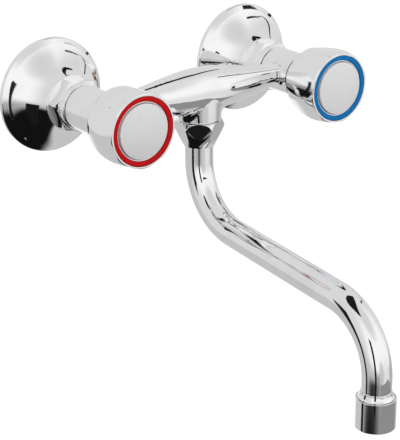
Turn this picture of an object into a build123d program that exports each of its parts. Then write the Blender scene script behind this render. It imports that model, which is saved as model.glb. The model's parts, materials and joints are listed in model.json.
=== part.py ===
from build123d import *
import os
from math import atan2, degrees, radians, tan

# A wall-mounted kitchen tap with two handles and a swivel spout.
# X runs along the wall towards the cold side, Y into the wall, Z up.
# The origin is on the wall face, midway between the two pipe threads.
# Places along a valve are distances from the wall face towards the user.
# Places along the outlet and the spout are drops below the two valve axes.

HOT = -1
COLD = 1
SIDE_NAMES = {HOT: "hot", COLD: "cold"}

# Clearances between fitted pieces
THREAD_CLEARANCE = 0.1
RUNNING_CLEARANCE = 0.1
LOOSE_CLEARANCE = 0.15

# Eccentric wall unions
INLET_CENTRES = 150.0
ECCENTRIC_OFFSET = 8.0
STUD_RADIUS = 10.4
STUD_LENGTH = 14.0
STUD_SHOULDER = 5.0
STUD_BORE_RADIUS = 7.0
UNION_RADIUS = 13.2
UNION_THREAD_LENGTH = 12.0
UNION_BORE_RADIUS = 8.0
UNION_NOSE_LENGTH = 5.0

# Cover roses, pressed from sheet
ROSE_RADIUS = 36.0
ROSE_RIM_DEPTH = 2.6
ROSE_LIP_DEPTH = 5.0
ROSE_BELL_RADIUS = 32.75
ROSE_WAIST_RADIUS = 22.6
ROSE_WAIST_DEPTH = 13.2
ROSE_NOSE_RADIUS = 16.7
ROSE_NOSE_ROUND = 1.2
ROSE_DEPTH = 24.0
ROSE_SHEET = 1.0

# Union nuts and their sealing washers
NUT_FLATS = 30.0
NUT_CORNER_RADIUS = 17.0
NUT_FACE_RADIUS = 15.2
NUT_HEX_LENGTH = 10.0
NUT_HEX_CHAMFER = 1.1
NUT_COLLAR_RADIUS = 14.9
NUT_COLLAR_LENGTH = 4.0
NUT_LIP_THICKNESS = 2.5
NUT_CORNER_ANGLES = {HOT: 52.0, COLD: 51.0}
NUT_FLANGE_RADIUS = 17.3
NUT_FLANGE_THICKNESS = 1.2
INLET_WASHER_THICKNESS = 2.0

# Snap ring that holds each union nut on the body
SNAP_RING_WIDTH = 1.2
SNAP_RING_SEAT_DEPTH = 0.7
SNAP_RING_RADIUS = 12.9

# Cast body
TAIL_RADIUS = 11.9
ARM_RADIUS = 14.0
ARM_GAP = 0.5
ARM_ROUND = 1.0
ARM_LENGTH = 25.7
BAR_SETBACK = 15.1
BAR_LIFT = 1.4
BAR_MIDDLE_RADIUS = 14.4
BAR_WAIST_RADIUS = 11.2
BAR_WAIST_PLACE = 30.0
BAR_SHOULDER_RADIUS = 7.6
BAR_SHOULDER_PLACE = 55.0
BAR_END_RADIUS = 7.0
BAR_BORE_RADIUS = 4.0
BAR_END_FILLET = 2.0
BOSS_RADIUS = 14.0
BOSS_DROP = 16.0
BOSS_FILLET = 7.0
INLET_BORE_RADIUS = 7.5
INLET_BORE_LENGTH = 15.0
SEAT_RIM = 1.2
SEAT_HEIGHT = 1.5
CHAMBER_RADIUS = 10.0

# Headwork that screws into each arm
HEADWORK_THREAD_RADIUS = 10.0
HEADWORK_THREAD_LENGTH = 6.2
GASKET_THICKNESS = 0.7
FLANGE_RADIUS = 12.2
FLANGE_THICKNESS = 1.1
HEADWORK_FLATS = 21.0
HEADWORK_HEX_LENGTH = 4.0
NECK_RADIUS = 8.0
NECK_CROWN = 1.5
GLAND_RADIUS = 6.8
GLAND_LENGTH = 7.3
GUIDE_FLATS = 11.0

# Jumper that carries the seat washer
SEAT_WASHER_RADIUS = 8.6
SEAT_WASHER_THICKNESS = 3.0
JUMPER_DISC_RADIUS = 8.8
JUMPER_DISC_THICKNESS = 2.5
JUMPER_LENGTH = 14.0
JUMPER_THREAD_DEPTH = 9.5
JUMPER_TRAVEL = 5.0
JUMPER_HEADROOM = 2.6
WASHER_SCREW_HEAD_RADIUS = 3.6
WASHER_SCREW_HEAD_LENGTH = 1.8
WASHER_SCREW_RADIUS = 1.9
WASHER_SCREW_GRIP = 3.2
WASHER_SCREW_SLOT = 0.9

# Spindle with its seals and clip
SPINDLE_THREAD_RADIUS = 4.0
SPINDLE_COLLAR_RADIUS = 5.4
SPINDLE_COLLAR_LENGTH = 2.0
JOURNAL_RADIUS = 4.5
SPINDLE_SEAL_SECTION = 0.65
SPINDLE_SEAL_SPACING = 2.8
SPINDLE_GROOVE_DEPTH = 1.3
SPINDLE_GROOVE_WIDTH = 1.6
CLIP_RADIUS = 6.0
CLIP_THICKNESS = 0.8
CLIP_GROOVE_DEPTH = 1.0
SPLINE_RADIUS = 4.0
SPLINE_DEPTH = 0.45
SPLINE_TEETH = 20
SPLINE_LENGTH = 8.4

# Handles, with sizes along the axis from the back and from the front
HANDLE_GAP = 0.6
HANDLE_BACK_RADIUS = 14.1
HANDLE_BACK_OUTLINE = [(16.3, 3.2), (20.1, 7.2), (22.3, 12.5)]
HANDLE_FRONT_OUTLINE = [(23.7, 13.8), (23.85, 8.8)]
HANDLE_FRONT_RADIUS = 22.5
HANDLE_LIP_ROUND = 0.8
HANDLE_MOUTH_RADIUS = 12.8
CAVITY_OUTLINE = [(14.3, 3.6), (18.4, 9.2), (20.2, 16.2)]
FACET_COUNT = 8
FACET_ANGLES = {HOT: 158.0, COLD: 172.0}
FACET_BACK_RADIUS = 20.3
FACET_BACK_PLACE = 7.2
FACET_MIDDLE_RADIUS = 22.3
FACET_MIDDLE_PLACE = 22.2
FACET_FRONT_RADIUS = 21.7
HUB_RADIUS = 7.5
HUB_GAP = 0.5
WEB_THICKNESS = 3.5
SCREW_SEAT_THICKNESS = 1.8

# Index rings, caps and handle screws
RING_OUTER_RADIUS = 20.8
RING_INNER_RADIUS = 17.5
RING_THICKNESS = 2.5
CAP_DEPTH = 8.8
CAP_RADIUS = 16.6
CAP_WALL = 1.4
CAP_EDGE_ROUND = 0.9
CAP_EDGE_RISE = 0.5
CAP_CROWN = 1.0
HANDLE_SCREW_RADIUS = 2.0
HANDLE_SCREW_GRIP = 6.0
HANDLE_SCREW_HEAD_RADIUS = 4.2
HANDLE_SCREW_HEAD_LENGTH = 2.4
HANDLE_SCREW_SLOT = 1.0

# Outlet and swivel nut
OUTLET_BORE_RADIUS = 5.0
SOCKET_HEADROOM = 1.0
OUTLET_THREAD_RADIUS = 12.0
OUTLET_THREAD_LENGTH = 5.0
SWIVEL_NUT_GAP = 0.9
SWIVEL_NUT_TOP_RADIUS = 13.8
SWIVEL_NUT_RADIUS = 15.9
SWIVEL_NUT_SHOULDER = 4.0
SWIVEL_NUT_LENGTH = 16.8
SWIVEL_NUT_END_RADIUS = 9.9
SWIVEL_NUT_FLATS = 28.0
SWIVEL_NUT_FLAT_ANGLE = 232.8

# Spout, its top bush and the swivel's seals
TUBE_RADIUS = 9.0
TUBE_WALL = 1.0
SPOUT_STEM = 9.4
SPOUT_REACH = 167.2
SPOUT_FALL = 17.0
SPOUT_BEND_RADIUS = 40.0
BUSH_LENGTH = 13.2
BUSH_RADIUS = 9.5
BUSH_BORE_RADIUS = 7.0
BUSH_SHOULDER_RADIUS = 11.3
BUSH_SHOULDER_LENGTH = 3.6
BUSH_SOCKET_DEPTH = 3.0
BUSH_SEAL_PLACES = (3.5, 9.0)
SPOUT_SEAL_SECTION = 0.65
SPOUT_GROOVE_DEPTH = 1.3
SPOUT_GROOVE_WIDTH = 1.6
SLIP_RING_THICKNESS = 1.5

# Spout end and aerator
SPOUT_TAIL = 6.8
END_BUSH_TOP_RADIUS = 9.5
END_BUSH_FLARE = 3.6
END_BUSH_THREAD_RADIUS = 10.9
END_BUSH_THREAD_LENGTH = 8.0
END_BUSH_BORE_RADIUS = 7.8
END_BUSH_SOCKET_DEPTH = 5.5
AERATOR_GAP = 0.3
AERATOR_RADIUS = 12.0
AERATOR_LENGTH = 18.7
AERATOR_MOUTH_RADIUS = 11.4
AERATOR_MOUTH_DEPTH = 1.2
AERATOR_LIP_THICKNESS = 2.0
AERATOR_LIP_BORE_RADIUS = 9.5
AERATOR_INSERT_RADIUS = 10.8
AERATOR_WASHER_THICKNESS = 1.5
AERATOR_WASHER_BORE_RADIUS = 7.5
AERATOR_HOLE_RADIUS = 1.2
AERATOR_HOLE_PITCH = 3.4
SCREEN_THICKNESS = 0.5
SCREEN_PITCH = 2.0
SCREEN_OPENING = 1.5
SCREEN_FIELD_RADIUS = 9.0

# Distances from the wall face
nut_end = ROSE_DEPTH + NUT_HEX_LENGTH + NUT_COLLAR_LENGTH
union_face = ROSE_DEPTH + UNION_NOSE_LENGTH
tail_end = union_face + INLET_WASHER_THICKNESS
arm_start = nut_end + ARM_GAP
arm_end = arm_start + ARM_LENGTH
bar_distance = arm_start + BAR_SETBACK
bar_height = ECCENTRIC_OFFSET + BAR_LIFT
snap_ring_end = nut_end - NUT_LIP_THICKNESS - RUNNING_CLEARANCE
snap_ring_start = snap_ring_end - SNAP_RING_WIDTH
seat_face = tail_end + INLET_BORE_LENGTH
chamber_floor = seat_face - SEAT_HEIGHT
headwork_start = arm_end - HEADWORK_THREAD_LENGTH
flange_start = arm_end + GASKET_THICKNESS
hex_start = flange_start + FLANGE_THICKNESS
hex_end = hex_start + HEADWORK_HEX_LENGTH
jumper_start = seat_face + SEAT_WASHER_THICKNESS
jumper_end = jumper_start + JUMPER_LENGTH
spindle_start = jumper_end - JUMPER_THREAD_DEPTH + JUMPER_TRAVEL + RUNNING_CLEARANCE
collar_start = jumper_end + JUMPER_TRAVEL + JUMPER_HEADROOM
collar_end = collar_start + SPINDLE_COLLAR_LENGTH
guide_end = collar_end + RUNNING_CLEARANCE
neck_step = guide_end + NECK_CROWN
gland_end = guide_end + GLAND_LENGTH
clip_start = gland_end + LOOSE_CLEARANCE
spline_start = clip_start + CLIP_THICKNESS + LOOSE_CLEARANCE
spline_end = spline_start + SPLINE_LENGTH
hub_start = spline_start + HUB_GAP
web_end = spline_end + RUNNING_CLEARANCE + SCREW_SEAT_THICKNESS
web_start = web_end - WEB_THICKNESS
handle_back = arm_end + HANDLE_GAP
handle_front = web_end + CAP_DEPTH
ring_seat = handle_front - RING_THICKNESS

# Drops below the valve axes
thread_end_drop = BOSS_DROP + OUTLET_THREAD_LENGTH
nut_top_drop = BOSS_DROP + SWIVEL_NUT_GAP
nut_widest_drop = nut_top_drop + SWIVEL_NUT_SHOULDER
nut_end_drop = nut_top_drop + SWIVEL_NUT_LENGTH
shoulder_drop = thread_end_drop + 2 * RUNNING_CLEARANCE
bush_top_drop = shoulder_drop - BUSH_LENGTH
bush_end_drop = shoulder_drop + BUSH_SHOULDER_LENGTH
tube_top_drop = bush_end_drop - BUSH_SOCKET_DEPTH
socket_top_drop = bush_top_drop - SOCKET_HEADROOM
slip_ring_drop = bush_end_drop + RUNNING_CLEARANCE
ledge_drop = slip_ring_drop + SLIP_RING_THICKNESS
spout_slope = degrees(atan2(SPOUT_FALL, SPOUT_REACH))
bend_tangent = SPOUT_BEND_RADIUS * tan(radians(90 - spout_slope) / 2)
first_corner_drop = nut_end_drop + SPOUT_STEM + bend_tangent
second_corner_drop = first_corner_drop + SPOUT_FALL
end_bush_top_drop = second_corner_drop + bend_tangent + SPOUT_TAIL
tube_end_drop = end_bush_top_drop + END_BUSH_SOCKET_DEPTH
end_bush_rim_drop = end_bush_top_drop + END_BUSH_FLARE
end_bush_end_drop = end_bush_rim_drop + END_BUSH_THREAD_LENGTH
aerator_top_drop = end_bush_rim_drop + AERATOR_GAP
aerator_mouth_drop = aerator_top_drop + AERATOR_MOUTH_DEPTH
aerator_end_drop = aerator_top_drop + AERATOR_LENGTH
insert_top_drop = end_bush_end_drop + AERATOR_WASHER_THICKNESS
screen_end_drop = aerator_end_drop - AERATOR_LIP_THICKNESS
screen_top_drop = screen_end_drop - SCREEN_THICKNESS

# Radii that follow the piece inside or outside
socket_radius = BUSH_RADIUS + RUNNING_CLEARANCE
gland_bore_radius = JOURNAL_RADIUS + RUNNING_CLEARANCE
nut_thread_bore = OUTLET_THREAD_RADIUS + THREAD_CLEARANCE
nut_ledge_bore = BUSH_SHOULDER_RADIUS + 2 * LOOSE_CLEARANCE
aerator_bore = END_BUSH_THREAD_RADIUS + THREAD_CLEARANCE


# Planes and axes

def valve_plane(side):
    """Plane through a valve axis: x is the radius, y the distance from the wall."""
    return Plane((side * INLET_CENTRES / 2, 0, ECCENTRIC_OFFSET), x_dir=(1, 0, 0), z_dir=(0, 0, -1))


def valve_section(side, distance):
    """Plane square to a valve axis, facing the user."""
    origin = (side * INLET_CENTRES / 2, -distance, ECCENTRIC_OFFSET)
    return Plane(origin, x_dir=(1, 0, 0), z_dir=(0, -1, 0))


def stud_section(side, distance):
    """Plane square to a pipe thread's axis, facing the user."""
    return Plane((side * INLET_CENTRES / 2, -distance, 0), x_dir=(1, 0, 0), z_dir=(0, -1, 0))


def valve_axis(side):
    return Axis((side * INLET_CENTRES / 2, 0, ECCENTRIC_OFFSET), (0, -1, 0))


def drop_plane(reach):
    """Plane through an upright axis ahead of the bar: x is the radius, y the drop."""
    origin = (0, -bar_distance - reach, ECCENTRIC_OFFSET)
    return Plane(origin, x_dir=(1, 0, 0), z_dir=(0, 1, 0))


def drop_section(reach, drop):
    """Level plane at a drop below the valve axes, facing up."""
    return Plane((0, -bar_distance - reach, ECCENTRIC_OFFSET - drop))


def upright_axis(reach):
    return Axis((0, -bar_distance - reach, ECCENTRIC_OFFSET), (0, 0, 1))


# Profiles

def outline(plane, *points):
    """Closed outline with straight sides."""
    with BuildSketch(plane) as profile:
        with BuildLine():
            Polyline(*points, close=True)
        make_face()
    return profile.sketch


def ring_outline(plane, inner, outer, start, end):
    """Section of a plain ring between two radii and two places along its axis."""
    return outline(plane, (inner, start), (outer, start), (outer, end), (inner, end))


def seal_outline(plane, radius, place, section):
    """Section of a round sealing ring."""
    with BuildSketch(plane) as profile:
        with Locations((radius, place)):
            Circle(section)
    return profile.sketch


def hexagon(plane, flats, angle=0.0):
    """Hexagon across flats with one corner at an angle."""
    with BuildSketch(plane) as profile:
        RegularPolygon(flats / 2, 6, major_radius=False, rotation=angle)
    return profile.sketch


def disc(plane, radius):
    with BuildSketch(plane) as profile:
        Circle(radius)
    return profile.sketch


# Wall side

def make_eccentric_union(side):
    """Threaded union whose two ends lie one offset apart."""
    thread_start = union_face - UNION_THREAD_LENGTH
    stud_start = stud_section(side, -STUD_LENGTH)
    neck_start = stud_section(side, STUD_SHOULDER)
    neck_end = valve_section(side, thread_start)
    with BuildPart() as union:
        extrude(disc(stud_start, STUD_RADIUS), STUD_LENGTH + STUD_SHOULDER)
        loft(disc(neck_start, STUD_RADIUS).faces() + disc(neck_end, UNION_RADIUS).faces())
        extrude(disc(neck_end, UNION_RADIUS), UNION_THREAD_LENGTH)
        extrude(
            disc(stud_start, STUD_BORE_RADIUS),
            STUD_LENGTH + STUD_SHOULDER,
            mode=Mode.SUBTRACT,
        )
        loft(
            disc(neck_start, STUD_BORE_RADIUS).faces() + disc(neck_end, UNION_BORE_RADIUS).faces(),
            mode=Mode.SUBTRACT,
        )
        extrude(disc(neck_end, UNION_BORE_RADIUS), UNION_THREAD_LENGTH, mode=Mode.SUBTRACT)
    return union


def make_rose(side):
    """Trumpet-shaped cover that hides the hole in the wall."""
    bore = UNION_RADIUS + LOOSE_CLEARANCE
    nose_base = ROSE_DEPTH - ROSE_NOSE_ROUND
    rim = (ROSE_RADIUS, ROSE_RIM_DEPTH)
    lip = (ROSE_BELL_RADIUS, ROSE_LIP_DEPTH)
    waist = (ROSE_WAIST_RADIUS, ROSE_WAIST_DEPTH)
    nose = (ROSE_NOSE_RADIUS, nose_base)
    inner_nose = (ROSE_NOSE_RADIUS - ROSE_SHEET, nose_base - ROSE_SHEET)
    inner_waist = (ROSE_WAIST_RADIUS - ROSE_SHEET, ROSE_WAIST_DEPTH - ROSE_SHEET)
    inner_lip = (ROSE_BELL_RADIUS - ROSE_SHEET, ROSE_LIP_DEPTH - ROSE_SHEET)
    inner_rim = (ROSE_RADIUS - ROSE_SHEET, ROSE_RIM_DEPTH - ROSE_SHEET)
    with BuildPart() as rose:
        with BuildSketch(valve_plane(side)):
            with BuildLine():
                Polyline((ROSE_RADIUS, 0), rim, lip)
                ThreePointArc(lip, waist, nose)
                Polyline(
                    nose,
                    (ROSE_NOSE_RADIUS - ROSE_NOSE_ROUND, ROSE_DEPTH),
                    (bore, ROSE_DEPTH),
                    (bore, ROSE_DEPTH - ROSE_SHEET),
                    inner_nose,
                )
                ThreePointArc(inner_nose, inner_waist, inner_lip)
                Polyline(inner_lip, inner_rim, (ROSE_RADIUS - ROSE_SHEET, 0), (ROSE_RADIUS, 0))
            make_face()
        revolve(axis=valve_axis(side))
    return rose


def make_union_nut(side):
    """Hexagon nut with a flange, a round front collar and an inner lip."""
    plane = valve_plane(side)
    axis = valve_axis(side)
    hex_front = ROSE_DEPTH + NUT_HEX_LENGTH
    lip_start = nut_end - NUT_LIP_THICKNESS
    thread_bore = UNION_RADIUS + THREAD_CLEARANCE
    lip_bore = TAIL_RADIUS + 2 * RUNNING_CLEARANCE
    chamfered_blank = outline(
        plane,
        (0, ROSE_DEPTH),
        (NUT_CORNER_RADIUS, ROSE_DEPTH),
        (NUT_CORNER_RADIUS, hex_front - NUT_HEX_CHAMFER),
        (NUT_FACE_RADIUS, hex_front),
        (0, hex_front),
    )
    bore = outline(
        plane,
        (0, ROSE_DEPTH),
        (thread_bore, ROSE_DEPTH),
        (thread_bore, lip_start),
        (lip_bore, lip_start),
        (lip_bore, nut_end),
        (0, nut_end),
    )
    with BuildPart() as nut:
        extrude(
            hexagon(valve_section(side, ROSE_DEPTH), NUT_FLATS, NUT_CORNER_ANGLES[side]),
            NUT_HEX_LENGTH,
        )
        revolve(chamfered_blank, axis=axis, mode=Mode.INTERSECT)
        extrude(disc(valve_section(side, ROSE_DEPTH), NUT_FLANGE_RADIUS), NUT_FLANGE_THICKNESS)
        extrude(disc(valve_section(side, hex_front), NUT_COLLAR_RADIUS), NUT_COLLAR_LENGTH)
        revolve(bore, axis=axis, mode=Mode.SUBTRACT)
    return nut


def make_inlet_washer(side):
    with BuildPart() as washer:
        revolve(
            ring_outline(
                valve_plane(side),
                UNION_BORE_RADIUS,
                UNION_RADIUS - LOOSE_CLEARANCE,
                union_face,
                tail_end,
            ),
            axis=valve_axis(side),
        )
    return washer


def make_snap_ring(side):
    """Ring in the tail's groove that stops the union nut."""
    inner = TAIL_RADIUS - SNAP_RING_SEAT_DEPTH + RUNNING_CLEARANCE
    with BuildPart() as ring:
        revolve(
            ring_outline(
                valve_plane(side),
                inner,
                SNAP_RING_RADIUS,
                snap_ring_start,
                snap_ring_end,
            ),
            axis=valve_axis(side),
        )
    return ring


# Body

def bar_outline():
    """Half section of the bar, whose belly is thickest over the outlet."""
    half = INLET_CENTRES / 2
    plane = Plane((0, -bar_distance, bar_height), x_dir=(1, 0, 0), z_dir=(0, -1, 0))
    with BuildSketch(plane) as profile:
        with BuildLine():
            Spline(
                (-half, BAR_END_RADIUS),
                (-BAR_SHOULDER_PLACE, BAR_SHOULDER_RADIUS),
                (-BAR_WAIST_PLACE, BAR_WAIST_RADIUS),
                (0, BAR_MIDDLE_RADIUS),
                (BAR_WAIST_PLACE, BAR_WAIST_RADIUS),
                (BAR_SHOULDER_PLACE, BAR_SHOULDER_RADIUS),
                (half, BAR_END_RADIUS),
            )
            Polyline((half, BAR_END_RADIUS), (half, 0), (-half, 0), (-half, BAR_END_RADIUS))
        make_face()
    return profile.sketch


def arm_outline(side):
    """Half section of one arm with its tail and the snap ring's groove."""
    groove_radius = TAIL_RADIUS - SNAP_RING_SEAT_DEPTH
    groove_start = snap_ring_start - RUNNING_CLEARANCE
    groove_end = snap_ring_end + RUNNING_CLEARANCE
    shoulder = (ARM_RADIUS - ARM_ROUND, arm_start)
    edge = (ARM_RADIUS, arm_start + ARM_ROUND)
    with BuildSketch(valve_plane(side)) as profile:
        with BuildLine():
            Polyline(
                (0, tail_end),
                (TAIL_RADIUS, tail_end),
                (TAIL_RADIUS, groove_start),
                (groove_radius, groove_start),
                (groove_radius, groove_end),
                (TAIL_RADIUS, groove_end),
                (TAIL_RADIUS, arm_start),
                shoulder,
            )
            TangentArc(shoulder, edge, tangent=(1, 0))
            Polyline(edge, (ARM_RADIUS, arm_end), (0, arm_end), (0, tail_end))
        make_face()
    return profile.sketch


def valve_chamber_outline(side):
    """Half section of the water way through one arm, from the tail to the headwork."""
    seat_outer = INLET_BORE_RADIUS + SEAT_RIM
    thread_bore = HEADWORK_THREAD_RADIUS + THREAD_CLEARANCE
    return outline(
        valve_plane(side),
        (0, tail_end),
        (INLET_BORE_RADIUS, tail_end),
        (INLET_BORE_RADIUS, seat_face),
        (seat_outer, seat_face),
        (seat_outer, chamber_floor),
        (CHAMBER_RADIUS, chamber_floor),
        (CHAMBER_RADIUS, headwork_start),
        (thread_bore, headwork_start),
        (thread_bore, arm_end),
        (0, arm_end),
    )


def make_body():
    """One casting: two arms, the bar between them and the outlet boss."""
    centre = (0, -bar_distance, bar_height)
    thread_end = drop_section(0, thread_end_drop)
    with BuildPart() as body:
        revolve(bar_outline(), axis=Axis(centre, (1, 0, 0)))
        extrude(disc(drop_section(0, BOSS_DROP), BOSS_RADIUS), BOSS_DROP)
        fillet(body.edges(Select.NEW), BOSS_FILLET)
        for side in SIDE_NAMES:
            revolve(arm_outline(side), axis=valve_axis(side))
            fillet(body.edges(Select.NEW), BAR_END_FILLET)
        extrude(disc(thread_end, OUTLET_THREAD_RADIUS), OUTLET_THREAD_LENGTH)
        for side in SIDE_NAMES:
            revolve(valve_chamber_outline(side), axis=valve_axis(side), mode=Mode.SUBTRACT)
        extrude(
            disc(Plane(centre, x_dir=(0, 1, 0), z_dir=(1, 0, 0)), BAR_BORE_RADIUS),
            INLET_CENTRES / 2,
            both=True,
            mode=Mode.SUBTRACT,
        )
        extrude(disc(thread_end, OUTLET_BORE_RADIUS), thread_end_drop, mode=Mode.SUBTRACT)
        extrude(
            disc(thread_end, socket_radius),
            thread_end_drop - socket_top_drop,
            mode=Mode.SUBTRACT,
        )
    return body


# Headworks

def make_bonnet_gasket(side):
    with BuildPart() as gasket:
        revolve(
            ring_outline(
                valve_plane(side),
                HEADWORK_THREAD_RADIUS + LOOSE_CLEARANCE,
                FLANGE_RADIUS,
                arm_end,
                flange_start,
            ),
            axis=valve_axis(side),
        )
    return gasket


def make_bonnet(side):
    """Brass headwork with a hexagon guide for the jumper and a bored gland."""
    guide = GUIDE_FLATS + 2 * LOOSE_CLEARANCE
    with BuildPart() as bonnet:
        extrude(
            disc(valve_section(side, headwork_start), HEADWORK_THREAD_RADIUS),
            flange_start - headwork_start,
        )
        extrude(disc(valve_section(side, flange_start), FLANGE_RADIUS), FLANGE_THICKNESS)
        extrude(hexagon(valve_section(side, hex_start), HEADWORK_FLATS), HEADWORK_HEX_LENGTH)
        extrude(disc(valve_section(side, hex_end), NECK_RADIUS), neck_step - hex_end)
        extrude(disc(valve_section(side, neck_step), GLAND_RADIUS), gland_end - neck_step)
        extrude(
            hexagon(valve_section(side, headwork_start), guide),
            guide_end - headwork_start,
            mode=Mode.SUBTRACT,
        )
        extrude(
            disc(valve_section(side, guide_end), gland_bore_radius),
            gland_end - guide_end,
            mode=Mode.SUBTRACT,
        )
    return bonnet


def make_seat_washer(side):
    with BuildPart() as washer:
        revolve(
            ring_outline(
                valve_plane(side),
                WASHER_SCREW_RADIUS + LOOSE_CLEARANCE,
                SEAT_WASHER_RADIUS,
                seat_face,
                jumper_start,
            ),
            axis=valve_axis(side),
        )
    return washer


def make_washer_screw(side):
    """Slotted screw that clamps the seat washer to the jumper."""
    head = valve_section(side, seat_face - WASHER_SCREW_HEAD_LENGTH)
    with BuildPart() as screw:
        extrude(disc(head, WASHER_SCREW_HEAD_RADIUS), WASHER_SCREW_HEAD_LENGTH)
        extrude(
            disc(valve_section(side, seat_face), WASHER_SCREW_RADIUS),
            SEAT_WASHER_THICKNESS + WASHER_SCREW_GRIP,
        )
        with BuildSketch(head):
            Rectangle(2 * WASHER_SCREW_HEAD_RADIUS, WASHER_SCREW_SLOT)
        extrude(amount=WASHER_SCREW_HEAD_LENGTH / 2, mode=Mode.SUBTRACT)
    return screw


def make_jumper(side):
    """Disc and hexagon stem that the spindle's thread draws off the seat."""
    disc_end = jumper_start + JUMPER_DISC_THICKNESS
    with BuildPart() as jumper:
        extrude(disc(valve_section(side, jumper_start), JUMPER_DISC_RADIUS), JUMPER_DISC_THICKNESS)
        extrude(hexagon(valve_section(side, disc_end), GUIDE_FLATS), jumper_end - disc_end)
        extrude(
            disc(valve_section(side, jumper_start), WASHER_SCREW_RADIUS + THREAD_CLEARANCE),
            WASHER_SCREW_GRIP + LOOSE_CLEARANCE,
            mode=Mode.SUBTRACT,
        )
        extrude(
            disc(valve_section(side, jumper_end), SPINDLE_THREAD_RADIUS + THREAD_CLEARANCE),
            -JUMPER_THREAD_DEPTH,
            mode=Mode.SUBTRACT,
        )
    return jumper


def spindle_seal_places():
    """Distances of the two spindle seals, centred in the gland."""
    middle = (guide_end + gland_end) / 2
    return (middle - SPINDLE_SEAL_SPACING / 2, middle + SPINDLE_SEAL_SPACING / 2)


def spline_outline(side, distance, clearance=0.0):
    """Section of the splined end, or of the bore that fits it with a clearance."""
    with BuildSketch(valve_section(side, distance)) as profile:
        Circle(SPLINE_RADIUS + clearance)
        with PolarLocations(SPLINE_RADIUS + 2 * clearance, SPLINE_TEETH):
            RegularPolygon(SPLINE_DEPTH, 4, mode=Mode.SUBTRACT)
    return profile.sketch


def make_spindle(side):
    """Non-rising spindle: thread, collar, journal, clip groove and spline."""
    plane = valve_plane(side)
    axis = valve_axis(side)
    clear_radius = JOURNAL_RADIUS + 1
    with BuildPart() as spindle:
        extrude(
            disc(valve_section(side, spindle_start), SPINDLE_THREAD_RADIUS),
            collar_start - spindle_start,
        )
        extrude(disc(valve_section(side, collar_start), SPINDLE_COLLAR_RADIUS), SPINDLE_COLLAR_LENGTH)
        extrude(disc(valve_section(side, collar_end), JOURNAL_RADIUS), spline_start - collar_end)
        extrude(spline_outline(side, spline_start), SPLINE_LENGTH)
        for place in spindle_seal_places():
            groove = ring_outline(
                plane,
                JOURNAL_RADIUS - SPINDLE_GROOVE_DEPTH,
                clear_radius,
                place - SPINDLE_GROOVE_WIDTH / 2,
                place + SPINDLE_GROOVE_WIDTH / 2,
            )
            revolve(groove, axis=axis, mode=Mode.SUBTRACT)
        clip_groove = ring_outline(
            plane,
            JOURNAL_RADIUS - CLIP_GROOVE_DEPTH,
            clear_radius,
            clip_start - RUNNING_CLEARANCE,
            clip_start + CLIP_THICKNESS + RUNNING_CLEARANCE,
        )
        revolve(clip_groove, axis=axis, mode=Mode.SUBTRACT)
        extrude(
            disc(valve_section(side, spline_end), HANDLE_SCREW_RADIUS + THREAD_CLEARANCE),
            -HANDLE_SCREW_GRIP,
            mode=Mode.SUBTRACT,
        )
    return spindle


def make_spindle_seals(side):
    centre_radius = gland_bore_radius - LOOSE_CLEARANCE / 3 - SPINDLE_SEAL_SECTION
    with BuildPart() as seals:
        for place in spindle_seal_places():
            revolve(
                seal_outline(valve_plane(side), centre_radius, place, SPINDLE_SEAL_SECTION),
                axis=valve_axis(side),
            )
    return seals


def make_spindle_clip(side):
    """Open spring clip that keeps the spindle in the bonnet."""
    inner = JOURNAL_RADIUS - CLIP_GROOVE_DEPTH + RUNNING_CLEARANCE
    with BuildPart() as clip:
        with BuildSketch(valve_section(side, clip_start)):
            Circle(CLIP_RADIUS)
            Circle(inner, mode=Mode.SUBTRACT)
            with Locations((0, -CLIP_RADIUS)):
                Rectangle(1.4 * inner, 2 * (CLIP_RADIUS - inner / 2), mode=Mode.SUBTRACT)
        extrude(amount=CLIP_THICKNESS)
    return clip


# Handles

def handle_outline(side):
    """Half section of a handle: shell, web and hub, before facets and splines."""
    ring_bore = RING_OUTER_RADIUS + RUNNING_CLEARANCE
    cap_bore = CAP_RADIUS + LOOSE_CLEARANCE
    screw_bore = HANDLE_SCREW_RADIUS + 2 * LOOSE_CLEARANCE
    mouth = (HANDLE_BACK_RADIUS, handle_back)
    lip = (HANDLE_FRONT_RADIUS, handle_front - HANDLE_LIP_ROUND)
    shell = [(radius, handle_back + place) for radius, place in HANDLE_BACK_OUTLINE]
    shell += [(radius, handle_front - place) for radius, place in HANDLE_FRONT_OUTLINE]
    cavity = [(radius, handle_back + place) for radius, place in CAVITY_OUTLINE]
    with BuildSketch(valve_plane(side)) as profile:
        with BuildLine():
            Spline(mouth, *shell, lip)
            Polyline(
                lip,
                (HANDLE_FRONT_RADIUS - HANDLE_LIP_ROUND, handle_front),
                (ring_bore, handle_front),
                (ring_bore, ring_seat),
                (cap_bore, ring_seat),
                (cap_bore, web_end),
                (screw_bore, web_end),
                (screw_bore, hub_start),
                (HUB_RADIUS, hub_start),
                (HUB_RADIUS, web_start),
                (cavity[-1][0], web_start),
                *reversed(cavity),
                (HANDLE_MOUTH_RADIUS, handle_back),
                mouth,
            )
        make_face()
    return profile.sketch


def facet_cutter(side, angle):
    """Metal outside one finger facet, which is flat across and bowed along the handle."""
    back = (FACET_BACK_RADIUS, handle_back + FACET_BACK_PLACE)
    middle = (FACET_MIDDLE_RADIUS, handle_back + FACET_MIDDLE_PLACE)
    front = (FACET_FRONT_RADIUS, handle_front)
    outside = HANDLE_FRONT_RADIUS + FACET_BACK_PLACE
    with BuildPart() as cutter:
        with BuildSketch(valve_plane(side)):
            with BuildLine():
                ThreePointArc(back, middle, front)
                Polyline(front, (outside, handle_front), (outside, back[1]), back)
            make_face()
        extrude(amount=HANDLE_BACK_RADIUS, both=True)
    return cutter.part.rotate(valve_axis(side), angle)


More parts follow.
